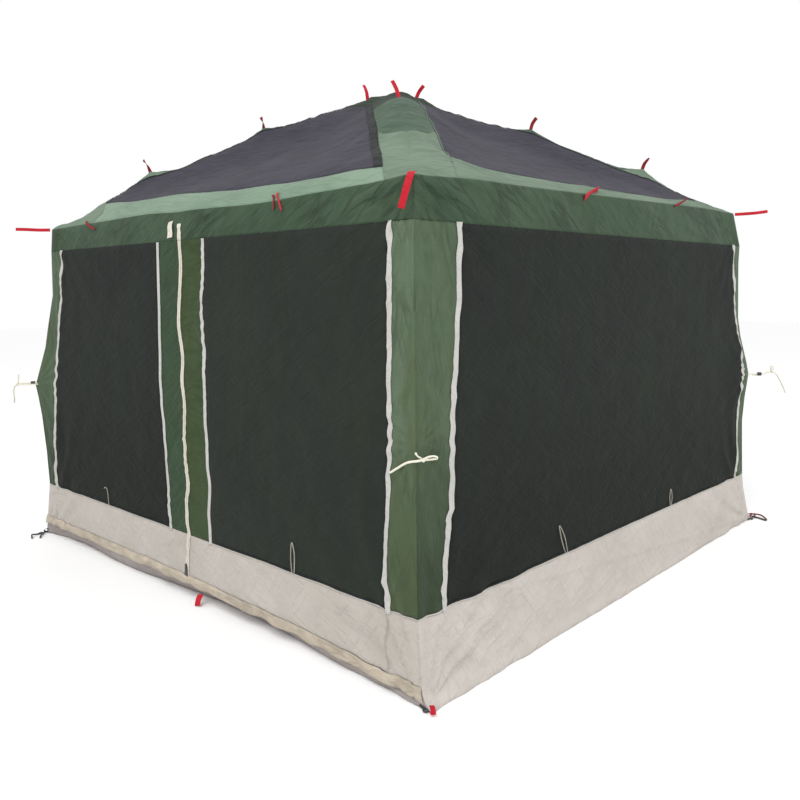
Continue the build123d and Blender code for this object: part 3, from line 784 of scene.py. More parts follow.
def merge(piece, distance=0.0004):
    mesh = bmesh.new()
    mesh.from_mesh(piece.data)
    bmesh.ops.remove_doubles(mesh, verts=mesh.verts, dist=distance)
    bmesh.ops.recalc_face_normals(mesh, faces=mesh.faces)
    mesh.to_mesh(piece.data)
    mesh.free()


def attach(piece, body, slot, *nodes):
    """Puts a piece on its body and hides the nodes it stands for. Its slot is not used."""
    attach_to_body(piece, body)
    if nodes:
        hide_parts(*nodes)


def settle(piece, body, slot, nodes=()):
    if body.startswith("door_leaf"):
        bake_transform(piece)
        if nodes:
            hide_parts(*nodes)
    else:
        attach(piece, body, slot, *nodes)


def wall_piece(name, wall, left, right, low, high, look, step=0.02, out=0.0):
    """A piece of wall cloth between two seams, given as shares at a height, and two heights at a share."""
    width = (right(1.0) - left(1.0)) * half_width(1.0)
    columns = max(3, round(width / step) + 1)
    rows = max(3, round((high(0.0) - low(0.0)) / step) + 1)

    def point(u, v):
        middle = low(0.0) + (high(0.0) - low(0.0)) * v
        share = left(middle) + (right(middle) - left(middle)) * u
        z = low(share) + (high(share) - low(share)) * v
        return on_wall(wall, left(z) + (right(z) - left(z)) * u, z, out)

    piece = new_piece(name, grid(point, columns, rows), grid_faces(columns, rows), [look])
    thicken(piece)
    return piece


def level(z):
    return lambda share: z


def at(wall, name):
    return lambda z: seam(wall, name, z)


def share(value):
    return lambda z: value


def skirt_top(share_across):
    return SKIRT_Z + 0.004 * noise.noise(Vector((share_across * 4, 2.0, 0)))


def sill(share_across):
    """The horizontal door zip, which runs down towards the front right corner."""
    return SILL_Z - 0.045 * clamp(share_across) ** 1.5


def declare_cloth(piece, body, slot, nodes):
    """Settles a cloth piece and hides the nodes it stands for."""
    settle(piece, body, slot, nodes)


# ---------------------------------------------------------------- walls


def make_valances():
    for wall in WALLS:
        heights = level(WINDOW_Z), level(EAVE_Z)
        piece = wall_piece(f"valance_{wall}", wall, share(-1), share(1), *heights, SHADED_VALANCE, 0.0095)
        declare_cloth(piece, "root", "green_cloth", ["valance"])


def make_windows():
    for wall, (left, right) in {"right": ("near", "far"), "back": ("a", "b"), "left": ("a", "b")}.items():
        seams = at(wall, left), at(wall, right)
        piece = wall_piece(f"window_cloth_{wall}", wall, *seams, skirt_top, level(WINDOW_Z), WINDOW, 0.024)
        widths = [(seam(wall, right, z) - seam(wall, left, z)) * half_width(z) for z in (SKIRT_Z, WINDOW_Z)]
        declare_cloth(piece, "root", "window_mesh", [f"window_{wall}"])


STRIP_SEAMS = {
    "front_right": ("right_outer", "near"),
    "back_right": ("far", "a"),
    "back_left": ("b", "a"),
    "front_left": ("b", "left_outer"),
}
CORNER_WALLS = {
    "front_right": ("front", "right"),
    "back_right": ("right", "back"),
    "back_left": ("back", "left"),
    "front_left": ("left", "front"),
}


def strip_point(corner):
    """A function of u and a height: u is -1 at the first wall's window, 0 on the corner, 1 at the other."""
    first, second = CORNER_WALLS[corner]
    first_seam, second_seam = STRIP_SEAMS[corner]

    def point(u, z):
        if u <= 0:
            edge = seam(first, first_seam, z)
            return on_wall(first, 1 + (edge - 1) * -u, z)
        edge = seam(second, second_seam, z)
        return on_wall(second, -1 + (edge + 1) * u, z)

    return point


def make_corner_strips():
    for corner, walls in CORNER_WALLS.items():
        on_strip = strip_point(corner)

        def point(u, v):
            u = 2 * u - 1
            edge = skirt_top(clamp(u, -1, 1))
            return on_strip(u, edge + (WINDOW_Z - edge) * v)

        faces = grid_faces(41, 150)
        piece = new_piece(f"strip_cloth_{corner}", grid(point, 41, 150), faces, [GREEN, GREEN_SHADED],
                          [int(k % 40 >= 20) for k in range(len(faces))])
        thicken(piece)
        seams = list(zip(walls, STRIP_SEAMS[corner]))
        widths = [sum(1 - abs(seam(*edge, z)) for edge in seams) * half_width(z) for z in (SKIRT_Z, WINDOW_Z)]
        declare_cloth(piece, "root", "green_cloth", [f"corner_strip_{corner}"])


def make_skirts():
    for wall in ("right", "back", "left"):
        edges = share(-1), share(1), level(0.0), skirt_top
        piece = wall_piece(f"skirt_cloth_{wall}", wall, *edges, SKIRT_LIT, 0.012)
        declare_cloth(piece, "root", "skirt_cloth", [f"skirt_{wall}"])
    piece = wall_piece("hem_cloth_front", "front", share(-1), share(1), level(0.0), sill, SHADE_CLOTH, 0.012)
    declare_cloth(piece, "root", "skirt_cloth", ["skirt_front"])
    ends = {"left": (share(-1), at("front", "left_outer")), "right": (at("front", "right_outer"), share(1))}
    for side, seams in ends.items():
        piece = wall_piece(f"skirt_end_{side}", "front", *seams, sill, skirt_top, SKIRT, 0.014)
        tall = SKIRT_Z - sill(1 if side == "right" else -1)
        declare_cloth(piece, "root", "skirt_cloth", ["skirt_front"])


FLAP_TALL = 0.048


def make_sill_flap():
    """The flap over the horizontal door zip: a cream band whose free lower edge waves."""

    def point(u, v):
        across = 2 * u - 1
        top_z = sill(across) + 0.014 + 0.004 * noise.noise(Vector((across * 11, 5, 2)))
        tall = FLAP_TALL * (1 + 0.22 * noise.noise(Vector((across * 16, 1, 7))))
        z = top_z - tall * v
        lift = 0.003 + 0.012 * v * (0.6 + 0.8 * noise.noise(Vector((across * 12, 3, 1))))
        lift += 0.004 * folds(across * 1.5, z, 20, 0.020, 0.10, 31) * (1 - abs(2 * v - 1))
        base = on_wall("front", across, max(z, 0.002), 0.0)
        top = on_wall("front", across, top_z, 0.0)
        y = min(base.y, top.y + 0.012 * v) if v else base.y
        return Vector((base.x, y - lift, z))

    piece = new_piece("sill_flap", grid(point, 300, 9), grid_faces(300, 9), [FLAP])
    thicken(piece, 0.0014)
    settle(piece, "root", "skirt_cloth", ())


# ---------------------------------------------------------------- door leaves


# The seams beside the window of each leaf
LEAF_WINDOWS = {"left": ("left_outer", "left_inner"), "right": ("right_inner", "right_outer")}
ZIP_GAP = 0.0008


def make_door_leaf(side):
    body = f"door_leaf_{side}"
    seams = [at("front", name) for name in LEAF_WINDOWS[side]]
    look = DOOR_WINDOW if side == "right" else WINDOW
    piece = wall_piece(f"door_window_{side}", "front", *seams, skirt_top, level(WINDOW_Z), look, 0.022)
    widths = [(seams[1](z) - seams[0](z)) * half_width(z) for z in (SKIRT_Z, WINDOW_Z)]
    declare_cloth(piece, body, "window_mesh", [f"door_mesh_{side}"])

    shift = -ZIP_GAP if side == "left" else ZIP_GAP
    middle = lambda z: seam("front", "zip", z) + shift
    inner = at("front", f"{side}_inner")
    seams = (inner, middle) if side == "left" else (middle, inner)
    look = LEAF_GREEN if side == "left" else LEAF_YELLOW
    piece = wall_piece(f"door_strip_cloth_{side}", "front", *seams, skirt_top, level(WINDOW_Z), look, 0.009)
    declare_cloth(piece, body, "green_cloth", [f"door_strip_{side}"])

    outer = at("front", f"{side}_outer")
    seams = (outer, middle) if side == "left" else (middle, outer)
    piece = wall_piece(f"door_skirt_cloth_{side}", "front", *seams, sill, skirt_top, SKIRT, 0.014)
    low = sill(0.45 if side == "right" else -0.45)
    declare_cloth(piece, body, "skirt_cloth", [f"door_skirt_{side}"])


# ---------------------------------------------------------------- tapes


TAPE_OUT = 0.0036
TAPE_THICK = 0.0014


def tape(name, wall, middle, width, low, high, look, body, slot, nodes=()):
    """A band of tape sewn along a seam, its middle given as metres across at a height."""
    rows = round((high - low) / 0.012) + 1

    def point(u, v):
        z = low + (high - low) * v
        x = middle(z) + width * (u - 0.5)
        edge = 1 - abs(2 * u - 1) ** 6
        return on_wall(wall, pulled_share(wall, x, z), z, TAPE_OUT * (0.75 + 0.25 * edge))

    piece = new_piece(name, grid(point, 9, rows), grid_faces(9, rows), [look])
    thicken(piece, TAPE_THICK)
    attach(piece, body, slot, *nodes)


def metres(wall, name, shift=0.0):
    return lambda z: along(SEAM_LINES[wall][name], z) + shift


# Wall, seam and width of the tapes beside the windows
WINDOW_TAPES = [
    ("front", "left_outer", 0.023), ("front", "right_outer", 0.024), ("right", "near", 0.029),
    ("right", "far", 0.023), ("back", "a", 0.024), ("back", "b", 0.024), ("left", "a", 0.024),
    ("left", "b", 0.024),
]


def make_tapes():
    for wall, name, width in WINDOW_TAPES:
        reach = SKIRT_Z - 0.012, WINDOW_Z + 0.004
        tape(f"window_tape_{wall}_{name}", wall, metres(wall, name), width, *reach, TAPE, "root",
             "cream_tape", ["window_tapes"])
    for side, sign in (("left", -1), ("right", 1)):
        body = f"door_leaf_{side}"
        reach = SKIRT_Z - 0.01, WINDOW_Z - 0.001
        tape(f"door_tape_{side}", "front", metres("front", f"{side}_inner"), 0.023, *reach, TAPE, body,
             "cream_tape", [f"door_tapes_{side}"])
        middle = metres("front", "zip", sign * (ZIP_WIDTH / 4 + 0.0006))
        reach = SILL_Z + 0.004, WINDOW_Z - 0.001
        tape(f"zip_tape_{side}", "front", middle, ZIP_WIDTH / 2, *reach, ZIP, body, "cream_tape")
    tape("zip_head", "front", metres("front", "zip"), 0.030, WINDOW_Z, 1.790, ZIP, "root", "cream_tape")


def by_skirt(shift):
    return lambda share_across: skirt_top(share_across) + shift


# Name, look, slot, edges above the skirt's top and distance out of the lines along it
SKIRT_BINDING = ("binding", BINDING, "skirt_cloth", (-0.003, 0.001), 0.003)
SKIRT_SHADE = ("shadow", HEM, "window_mesh", (0.001, 0.008), 0.002)


def make_bindings():
    """A thin light binding along each skirt's top edge, and the dark shade of the cloth tucked over it."""
    for wall, body, left, right in (
        ("front", "door_leaf_left", "left_outer", "left_inner"),
        ("front", "door_leaf_right", "right_inner", "right_outer"),
        ("right", "root", "near", "far"), ("back", "root", "a", "b"), ("left", "root", "a", "b"),
    ):
        ends = at(wall, left), at(wall, right)
        for name, look, slot, edges, out in (SKIRT_BINDING, SKIRT_SHADE):
            piece = wall_piece(f"{name}_{wall}_{left}", wall, *ends, *map(by_skirt, edges), look, 0.02, out)
            attach(piece, body, slot)
    look, slot, edges, out = SKIRT_BINDING[1:]
    for corner, walls in CORNER_WALLS.items():
        for wall, name in zip(walls, STRIP_SEAMS[corner]):
            ends = (at(wall, name), share(1)) if wall == walls[0] else (share(-1), at(wall, name))
            ends = *ends, *map(by_skirt, edges)
            piece = wall_piece(f"binding_{corner}_{wall}", wall, *ends, look, 0.02, out)
            attach(piece, "root", slot)


# ---------------------------------------------------------------- roof


def side_at(wall, side, s):
    """Metres across to the edge of a roof mesh, side -1 for its left end, at a distance from the middle."""
    return side * (s - band_width(wall, side, s))


def mesh_low(wall, u):
    """The distance from the middle of a roof mesh's lower edge, a share u of the way along it."""
    about = MESH_LOW[wall][len(MESH_LOW[wall]) // 2][1]
    left, right = side_at(wall, -1, about), side_at(wall, 1, about)
    return along(MESH_LOW[wall], left + (right - left) * u)


def roof_piece(name, wall, low, high, rows, look):
    """A piece of roof cloth between two lines, each a distance from the middle given at a share along it."""

    def point(u, v):
        s = low(u) + (high(u) - low(u)) * v
        left, right = side_at(wall, -1, s), side_at(wall, 1, s)
        return on_roof(wall, s, left + (right - left) * u)

    piece = new_piece(name, grid(point, 140, rows), grid_faces(140, rows), [look])
    thicken(piece, offset=1.0)
    return piece


def make_roof():
    for wall in WALLS:
        edge = lambda u, wall=wall: mesh_low(wall, u)
        low = mesh_low(wall, 0.5)
        piece = roof_piece(f"roof_cloth_{wall}", wall, lambda u: MESH_HIGH, edge, 70, ROOF_MESH)
        widths = [side_at(wall, 1, s) - side_at(wall, -1, s) for s in (MESH_HIGH, low)]
        declare_cloth(piece, "root", "roof_mesh", [f"roof_mesh_{wall}"])
        # The eave bands take the painted-light copies of the green cloth, the front one the lightest.
        look = SKY_LIT_EAVE_GREEN if wall == "front" else SKY_LIT_GREEN
        piece = roof_piece(f"eave_cloth_{wall}", wall, edge, lambda u: EAVE, 9, look)
        widths = [side_at(wall, 1, s) - side_at(wall, -1, s) for s in (low, EAVE)]
        declare_cloth(piece, "root", "light_green_cloth", ["eave_bands"])


# The painted-light copy low on the hips, then the painted-shade copies higher up.
HIP_LOOKS = [SKY_LIT_GREEN, HIP_SHADED_GREEN, HIP_DEEP_SHADED_GREEN]


def hip_look(s, off):
    """Which of the hip looks is at a distance from the middle and off a hip: 2 the deep painted shade near
    the peak, 1 the lighter painted shade, 0 the painted-light copy.
    """
    if s < 0.235 + 1.25 * off:
        return 2
    return 1 if s < 1.01 - 0.30 * off + 0.05 * noise.noise(Vector((s * 5, off * 9, 3))) else 0


def make_hip_bands():
    columns, rows = 37, 150
    for corner, (first, second) in CORNER_WALLS.items():

        def place(u, v):
            s = MESH_HIGH + (EAVE - MESH_HIGH) * v
            wall, side = (first, 1) if u <= 0.5 else (second, -1)
            return wall, side, s, band_width(wall, side, s) * abs(1 - 2 * u)

        def point(u, v):
            wall, side, s, off = place(u, v)
            return on_roof(wall, s, side * (s - off))

        def look(face):
            row, column = divmod(face, columns - 1)
            return hip_look(*place((column + 0.5) / (columns - 1), (row + 0.5) / (rows - 1))[2:])

        faces = grid_faces(columns, rows)
        looks = [look(face) for face in range(len(faces))]
        piece = new_piece(f"hip_cloth_{corner}", grid(point, columns, rows), faces, HIP_LOOKS, looks)
        thicken(piece, offset=1.0)
        bands = [(wall, side, 0.2 + 0.1 * k) for wall, side in ((first, 1), (second, -1)) for k in range(12)]
        width = sum(band_width(*band) for band in bands) / 12
        settle(piece, "root", "light_green_cloth", ["hip_bands"])


def make_cap():
    columns, rows = 61, 34
    verts, faces, looks = [], [], []
    for wall in WALLS:
        start = len(verts)
        verts += grid(lambda u, v: on_roof(wall, MESH_HIGH * v, MESH_HIGH * v * (2 * u - 1)), columns, rows)
        faces += grid_faces(columns, rows, start)
        for row in range(rows - 1):
            s = MESH_HIGH * (row + 0.5) / (rows - 1)
            for column in range(columns - 1):
                off = s * (1 - abs(2 * (column + 0.5) / (columns - 1) - 1))
                looks.append(max(1, hip_look(s, off)))
    # The cap takes only the painted-shade copies of the hip cloth.
    piece = new_piece("cap_cloth", verts, faces, HIP_LOOKS, looks)
    merge(piece)
    thicken(piece)
    settle(piece, "root", "light_green_cloth", ["peak_cap"])


# Wall and side of each roof mesh's edge along a hip, and the width and look of the hem there
ROOF_HEMS = {("front", 1): (0.048, HEM), ("right", -1): (0.006, SKY_LIT_GREEN)}


def make_roof_hems():
    """A binding along each side of a roof mesh, standing a little proud."""
    for wall in WALLS:
        for side in (-1, 1):
            width, look = ROOF_HEMS.get((wall, side), (0.014, HEM))

            def point(u, v):
                s = MESH_HIGH + (mesh_low(wall, (side + 1) / 2) - MESH_HIGH) * v
                return on_roof(wall, s, side_at(wall, side, s) - side * width * u, 0.0025)

            piece = new_piece(f"roof_hem_{wall}_{side + 1}", grid(point, 5, 90), grid_faces(5, 90), [look])
            thicken(piece, 0.0008, 0.0)
            attach(piece, "root", "roof_mesh")


# ---------------------------------------------------------------- webbing


def smooth_line(points, steps=6):
    """Points along a smooth line through a few points."""
    out = []
    spots = [Vector(p) for p in points]
    for i in range(len(spots) - 1):
        p0, p1, p2, p3 = (spots[max(0, min(len(spots) - 1, i + k))] for k in (-1, 0, 1, 2))
        for k in range(steps):
            t = k / steps
            out.append(0.5 * (2 * p1 + (p2 - p0) * t + (2 * p0 - 5 * p1 + 4 * p2 - p3) * t * t
                              + (3 * p1 - p0 - 3 * p2 + p3) * t**3))
    out.append(spots[-1])
    return out


def ribbon(name, points, side, width, look, body, slot, nodes=(), twist=0.0, thick=0.0016, steps=6):
    """A flat strap along a line: side is which way it is wide at its start, and it turns by twist degrees."""
    line = smooth_line(points, steps)
    verts = []
    for i, place in enumerate(line):
        ahead = (line[min(i + 1, len(line) - 1)] - line[max(i - 1, 0)]).normalized()
        turned = Matrix.Rotation(math.radians(twist) * i / (len(line) - 1), 3, ahead) @ Vector(side)
        turned = (turned - ahead * turned.dot(ahead)).normalized()
        verts += [place + turned * width * (c / 4 - 0.5) for c in range(5)]
    piece = new_piece(name, verts, grid_faces(5, len(line)), [look])
    thicken(piece, thick, 0.0)
    bevel = piece.modifiers.new("edge", "BEVEL")
    bevel.width = 0.0004
    bevel.limit_method = "ANGLE"
    apply_all(piece)
    attach(piece, body, slot, *nodes)


def webbing(name, points, side, width, look, twist, steps=6):
    """A piece of the red webbing, which is all sewn to the canopy."""
    ribbon(name, points, side, width, look, "root", "red_webbing", ["webbing_tabs"], twist, steps=steps)


def diagonal(corner, d, across, z):
    """A point at a distance outwards along a corner's diagonal and a distance across it."""
    sx, sy = CORNERS[corner]
    out = Vector((sx, sy, 0)).normalized()
    side = Vector((-out.y, out.x, 0))
    return out * d + side * across + Vector((0, 0, z))


ROOT2 = math.sqrt(2)
# Corner, distance from the middle, reach outwards and across of the tip, twist in degrees, width and length
HIP_TABS = [
    ("front_left", 1.02, 0.036, 0.010, 120, 0.020, 0.072),
    ("front_left", 0.55, 0.016, -0.012, 140, 0.020, 0.070),
    ("front_left", 0.122, 0.022, -0.018, 20, 0.021, 0.094),
    ("back_right", 1.02, 0.038, -0.008, -110, 0.020, 0.068),
    ("back_right", 0.55, 0.036, 0.012, -20, 0.020, 0.070),
    ("back_right", 0.075, 0.046, -0.010, -15, 0.021, 0.076),
    ("back_left", 1.02, 0.026, 0.006, 45, 0.020, 0.075),
    ("back_left", 0.55, 0.022, -0.010, -55, 0.020, 0.075),
    ("back_left", 0.105, 0.030, 0.008, 40, 0.021, 0.075),
    ("front_right", 0.245, -0.020, -0.036, 30, 0.021, 0.094),
]


PEAK_ZONE = 0.3  # the tabs nearer the middle than this take the plain red, the others the painted-shade copy


def make_hip_tabs():
    for count, (corner, s, reach, across, twist, width, tall) in enumerate(HIP_TABS):
        foot = diagonal(corner, s * ROOT2, 0, hip_line(corner, s) + hip_peak(s) - 0.004)
        tip = foot + diagonal(corner, reach, across, tall)
        bend = foot.lerp(tip, 0.5) + diagonal(corner, -0.005, 0.004, 0.003)
        way = (0.3, 1) if corner in ("front_right", "back_left") else (1, 0.3)
        side = diagonal(corner, *way, 0)
        look = RED if s < PEAK_ZONE else SHADED_RED
        webbing(f"hip_tab_{count + 1}", [foot, bend, tip], side, width, look, twist)


# Wall, points as (metres across, distance from the middle or None on the wall, height above the cloth or
# height), width and look
EAVE_TABS = [
    ("front", [(-1.030, 1.438, 0.006), (-0.95, None, 1.838), (-0.86, None, 1.812)], 0.013, SHADED_RED),
    ("front", [(0.640, 1.425, 0.004), (0.672, 1.446, 0.012), (0.690, None, 1.806)], 0.011, SHADED_RED),
    ("front", [(0.672, 1.420, 0.004), (0.688, 1.440, 0.014), (0.745, None, 1.800)], 0.009, RED),
    ("right", [(-0.330, None, 1.836), (-0.250, 1.448, 0.006), (-0.130, 1.410, 0.010)], 0.028, RED),
    ("right", [(0.610, None, 1.846), (0.740, 1.440, 0.014), (0.860, 1.400, 0.026)], 0.016, SHADED_RED),
    ("back", [(-0.70, 1.40, 0.004), (-0.70, 1.446, 0.006), (-0.69, None, 1.800)], 0.018, RED),
    ("back", [(0.70, 1.40, 0.004), (0.71, 1.446, 0.006), (0.71, None, 1.800)], 0.018, RED),
    ("left", [(-0.70, 1.40, 0.004), (-0.69, 1.446, 0.006), (-0.70, None, 1.800)], 0.018, RED),
    ("left", [(0.70, 1.40, 0.004), (0.70, 1.446, 0.006), (0.72, None, 1.800)], 0.018, RED),
]


def make_eave_tabs():
    for count, (wall, points, width, look) in enumerate(EAVE_TABS):
        ox, oy = OUTWARD[wall]
        across = Vector((-oy, ox, 0))
        line = [on_roof(wall, s, x, z) if s else on_wall(wall, x / half_width(z), z, 0.010)
                for x, s, z in points]
        side = across if points[-1][1] is None else Vector((ox * 0.3, oy * 0.3, 1))
        webbing(f"eave_tab_{count + 1}", line, side, width, look, 12)


STRAPS = {
    "front_right": [
        (2.050, 0, 1.862), (2.082, -0.010, 1.850), (2.092, -0.026, 1.800), (2.088, -0.044, 1.736),
    ],
    "back_right": [(2.010, 0, 1.888), (2.08, 0.004, 1.892), (2.14, -0.004, 1.896), (2.209, 0.004, 1.905)],
    "back_left": [(2.045, 0, 1.852), (2.11, -0.004, 1.850), (2.17, 0.004, 1.830), (2.215, 0.0, 1.790)],
    "front_left": [(2.045, 0, 1.828), (2.11, 0.004, 1.828), (2.18, -0.002, 1.832), (2.246, -0.004, 1.834)],
}


def make_corner_straps():
    for corner, points in STRAPS.items():
        line = [diagonal(corner, *point) for point in points]
        hanging = corner == "front_right"
        side = diagonal(corner, 0, 1, 0) if hanging else (0, 0, 1)
        webbing(f"corner_strap_{corner}", line, side, 0.024 if hanging else 0.018, RED, 8)


# Where each ground loop's skirt corner is, as (outwards, across), and its look
LOOP_FEET = {
    "front_right": (2.226, 0.0445, RED),
    "back_right": (2.228, 0.064, SHADED_RED),
    "back_left": (2.160, 0.0, SHADED_RED),
    "front_left": (2.170, 0.004, HEM),
}


def make_ground_loops():
    for corner, (d, across, look) in LOOP_FEET.items():
        line = [diagonal(corner, d + reach, across + aside, z) for reach, aside, z in (
            (-0.010, 0.0, 0.022), (0.010, 0.001, 0.026), (0.028, 0.003, 0.020), (0.031, 0.003, 0.010),
            (0.020, 0.002, 0.0078), (0.004, 0.0, 0.0078))]
        webbing(f"ground_loop_{corner}", line, diagonal(corner, 0, 1, 0), 0.018, look, 0)


# Loose ends of the ground hooks, as (outwards, across, height), and their looks
HOOK_TAILS = {
    "front_left": [
        (
            [(2.205, 0.020, 0.005), (2.228, 0.058, 0.006), (2.243, 0.088, 0.012), (2.226, 0.128, 0.004)],
            BLACK,
        ),
        ([(2.196, 0.030, 0.005), (2.190, 0.080, 0.010), (2.180, 0.122, 0.004)], BLACK),
    ],
    "back_right": [
        (
            [(2.222, 0.060, 0.006), (2.262, 0.106, 0.010), (2.296, 0.064, 0.014), (2.304, 0.006, 0.006)],
            SHADED_RED,
        ),
        (
            [(2.304, 0.006, 0.006), (2.292, -0.014, 0.004), (2.270, 0.030, 0.005), (2.240, 0.062, 0.006)],
            BLACK,
        ),
    ],
    "front_right": [],
    "back_left": [
        (
            [(2.205, 0.020, 0.005), (2.226, 0.056, 0.006), (2.236, 0.086, 0.010), (2.218, 0.110, 0.004)],
            BLACK,
        ),
    ],
}
PEG_EYE = (2.216, 0.024)
PEG_SHANK = [(2.165, 0.004), (2.188, 0.008), (2.207, 0.019)]
PEG_RING = 0.0098
PEG_LEVEL = 0.0040


def make_hooks():
    """A flat ring for a tent peg at each ground corner, its shank under the hem and its loose ends."""
    for corner, tails in HOOK_TAILS.items():
        ring = []
        for k in range(17):
            a = 2 * math.pi * k / 16
            spot = PEG_EYE[0] + PEG_RING * math.cos(a), PEG_EYE[1] + PEG_RING * math.sin(a)
            ring.append(diagonal(corner, *spot, PEG_LEVEL))
        shank = [diagonal(corner, *spot, PEG_LEVEL) for spot in PEG_SHANK]
        pieces = [
            strand(f"peg_ring_{corner}", ring, 0.0032, BLACK),
            strand(f"peg_shank_{corner}", shank, 0.0036, BLACK),
        ]
        for count, (points, look) in enumerate(tails):
            line = [diagonal(corner, *point) for point in points]
            pieces.append(strand(f"hook_end_{corner}_{count + 1}", line, 0.0048, look))
        for piece in pieces:
            attach(piece, "root", "black_plastic", "peg_plates")


def make_door_loop():
    """A flat folded loop of webbing that hangs at the foot of the door."""
    line = [Vector((x, -BASE - out, z)) for x, out, z in (
        (0.150, 0.004, 0.046), (0.156, 0.018, 0.034), (0.163, 0.030, 0.018), (0.168, 0.036, 0.004))]
    webbing("door_loop", line, (1, 0.15, 0), 0.034, RED, 0, 4)


# Outlines of the zip slider and its pull, as metres across from the zip and height
SLIDER_OUTLINE = [
    (-0.004, 0.146), (0.004, 0.146), (0.0085, 0.156), (0.0080, 0.166), (0.003, 0.1715), (-0.003, 0.1715),
    (-0.0080, 0.166), (-0.0085, 0.156),
]
PULL_OUTLINE = [
    (-0.0040, 0.170), (0.0040, 0.170), (0.0085, 0.150), (0.0150, 0.116), (0.0135, 0.108), (-0.0115, 0.108),
    (-0.0130, 0.116), (-0.0075, 0.150),
]


def make_slider():
    """The door zip's slider and its hanging pull, a black tab that widens to its foot."""
    x, y = 0.037, -half_width(0.15) - 0.002

    def plate(name, outline, y_near, thick):
        count = len(outline)
        verts = [Vector((x + a, y_near - k * thick, z)) for k in (0, 1) for a, z in outline]
        faces = [tuple(range(count - 1, -1, -1)), tuple(range(count, 2 * count))]
        faces += [(k, (k + 1) % count, (k + 1) % count + count, k + count) for k in range(count)]
        piece = new_piece(name, verts, faces, [BLACK])
        for face in piece.data.polygons:
            face.use_smooth = False
        merge(piece, FINE)
        bevel = piece.modifiers.new("edge", "BEVEL")
        bevel.width = 0.0012
        bevel.segments = 3
        apply_all(piece)
        return piece

    slider = plate("slider_body", SLIDER_OUTLINE, y - 0.004, 0.007)
    attach(slider, "zip_slider", "black_plastic", "door_slider")
    pull = plate("slider_tab", PULL_OUTLINE, y - 0.0125, 0.0035)
    attach(pull, "pull_tab", "black_plastic", "slider_pull")


# Wall and body of each window loop, and its points as (across, height, out)
LOOPS = [
    (
        "front",
        "door_leaf_left",
        [
            (-0.768, 0.31, 0.003), (-0.766, 0.36, 0.008), (-0.772, 0.398, 0.010), (-0.790, 0.405, 0.011),
            (-0.806, 0.396, 0.009),
        ],
    ),
    (
        "front",
        "door_leaf_right",
        [
            (0.816, 0.31, 0.003), (0.812, 0.38, 0.010), (0.822, 0.440, 0.012), (0.834, 0.39, 0.010),
            (0.830, 0.312, 0.003),
        ],
    ),
    (
        "right",
        "root",
        [
            (-0.556, 0.31, 0.003), (-0.592, 0.38, 0.010), (-0.606, 0.446, 0.012), (-0.570, 0.39, 0.010),
            (-0.540, 0.312, 0.003),
        ],
    ),
    (
        "right",
        "root",
        [
            (0.478, 0.31, 0.003), (0.466, 0.36, 0.008), (0.476, 0.402, 0.010), (0.494, 0.36, 0.008),
            (0.490, 0.312, 0.003),
        ],
    ),
]


def make_window_loops():
    for count, (wall, body, points) in enumerate(LOOPS):
        line = [on_wall(wall, x / half_width(z), z, out) for x, z, out in points]
        ribbon(f"window_loop_{count + 1}", line, (OUTWARD[wall][0], OUTWARD[wall][1], 0.2), 0.004, LOOP, body,
               "cream_cord", (), 25, 0.003)


def make_door_strap():
    """A short folded strap over the door head."""
    line = [on_wall("front", x / half_width(z), z, out) for x, z, out in (
        (-0.112, 1.806, 0.002), (-0.106, 1.780, 0.012), (-0.098, 1.745, 0.010), (-0.092, 1.718, 0.016))]
    ribbon("door_head_strap", line, (1, 0, 0), 0.034, ZIP, "root", "cream_tape", (), -10)


# ---------------------------------------------------------------- ties

TIE_DIAMETER = 0.009
TIE_LEVEL = 0.928
TIE_OUT = [
    (2.114, 0.002, 0.926), (2.160, 0.0, TIE_LEVEL), (2.232, 0.0, TIE_LEVEL), (2.272, -0.002, 0.925),
    (2.304, 0.001, 0.922), (2.324, 0.002, 0.902), (2.330, 0.0, 0.870), (2.326, -0.002, 0.838),
    (2.330, 0.0, 0.806),
]
TIE_RAISED = [
    (2.114, 0.002, 0.924), (2.160, 0.0, TIE_LEVEL), (2.232, 0.0, TIE_LEVEL), (2.270, -0.002, 0.944),
    (2.298, 0.001, 0.942), (2.322, 0.002, 0.918), (2.342, 0.0, 0.886), (2.360, -0.002, 0.848),
    (2.378, 0.0, 0.810),
]
TIE_WRAPPED = [
    (2.056, 0.072, 0.868), (2.079, 0.048, 0.871), (2.103, 0.024, 0.874), (2.131, 0.0, 0.876),
    (2.112, -0.016, 0.871), (2.094, -0.034, 0.863), (2.070, -0.060, 0.842), (2.042, -0.089, 0.817),
]
# Route, the cord's length, and where its knot is
TIES = {
    "front_right": (TIE_WRAPPED, 0.239, (2.103, 0.024, 0.874)),
    "back_right": (TIE_RAISED, 0.341, (2.286, 0.0, 0.944)),
    "back_left": (TIE_OUT, 0.314, (2.298, 0.0, 0.922)),
    "front_left": (TIE_OUT, 0.314, (2.298, 0.0, 0.922)),
}
LOCK_D = 2.208
LOCK_PROFILE = [
    (0, 0.006), (0, 0.0095), (0.002, 0.0112), (0.010, 0.0102), (0.018, 0.0112), (0.022, 0.0105),
    (0.024, 0.008), (0.024, 0.006), (0.0, 0.006),
]


def cord_curve(name, points, radius, look):
    data = bpy.data.curves.new(name, "CURVE")
    data.dimensions = "3D"
    data.bevel_depth = radius
    data.bevel_resolution = 4
    spline = data.splines.new("NURBS")
    spline.points.add(len(points) - 1)
    for control, point in zip(spline.points, points):
        control.co = (*point, 1)
    spline.order_u = 3
    spline.use_endpoint_u = True
    spline.resolution_u = 8
    data.use_fill_caps = True
    data.materials.append(look)
    curve = bpy.data.objects.new(name, data)
    bpy.context.scene.collection.objects.link(curve)
    return curve


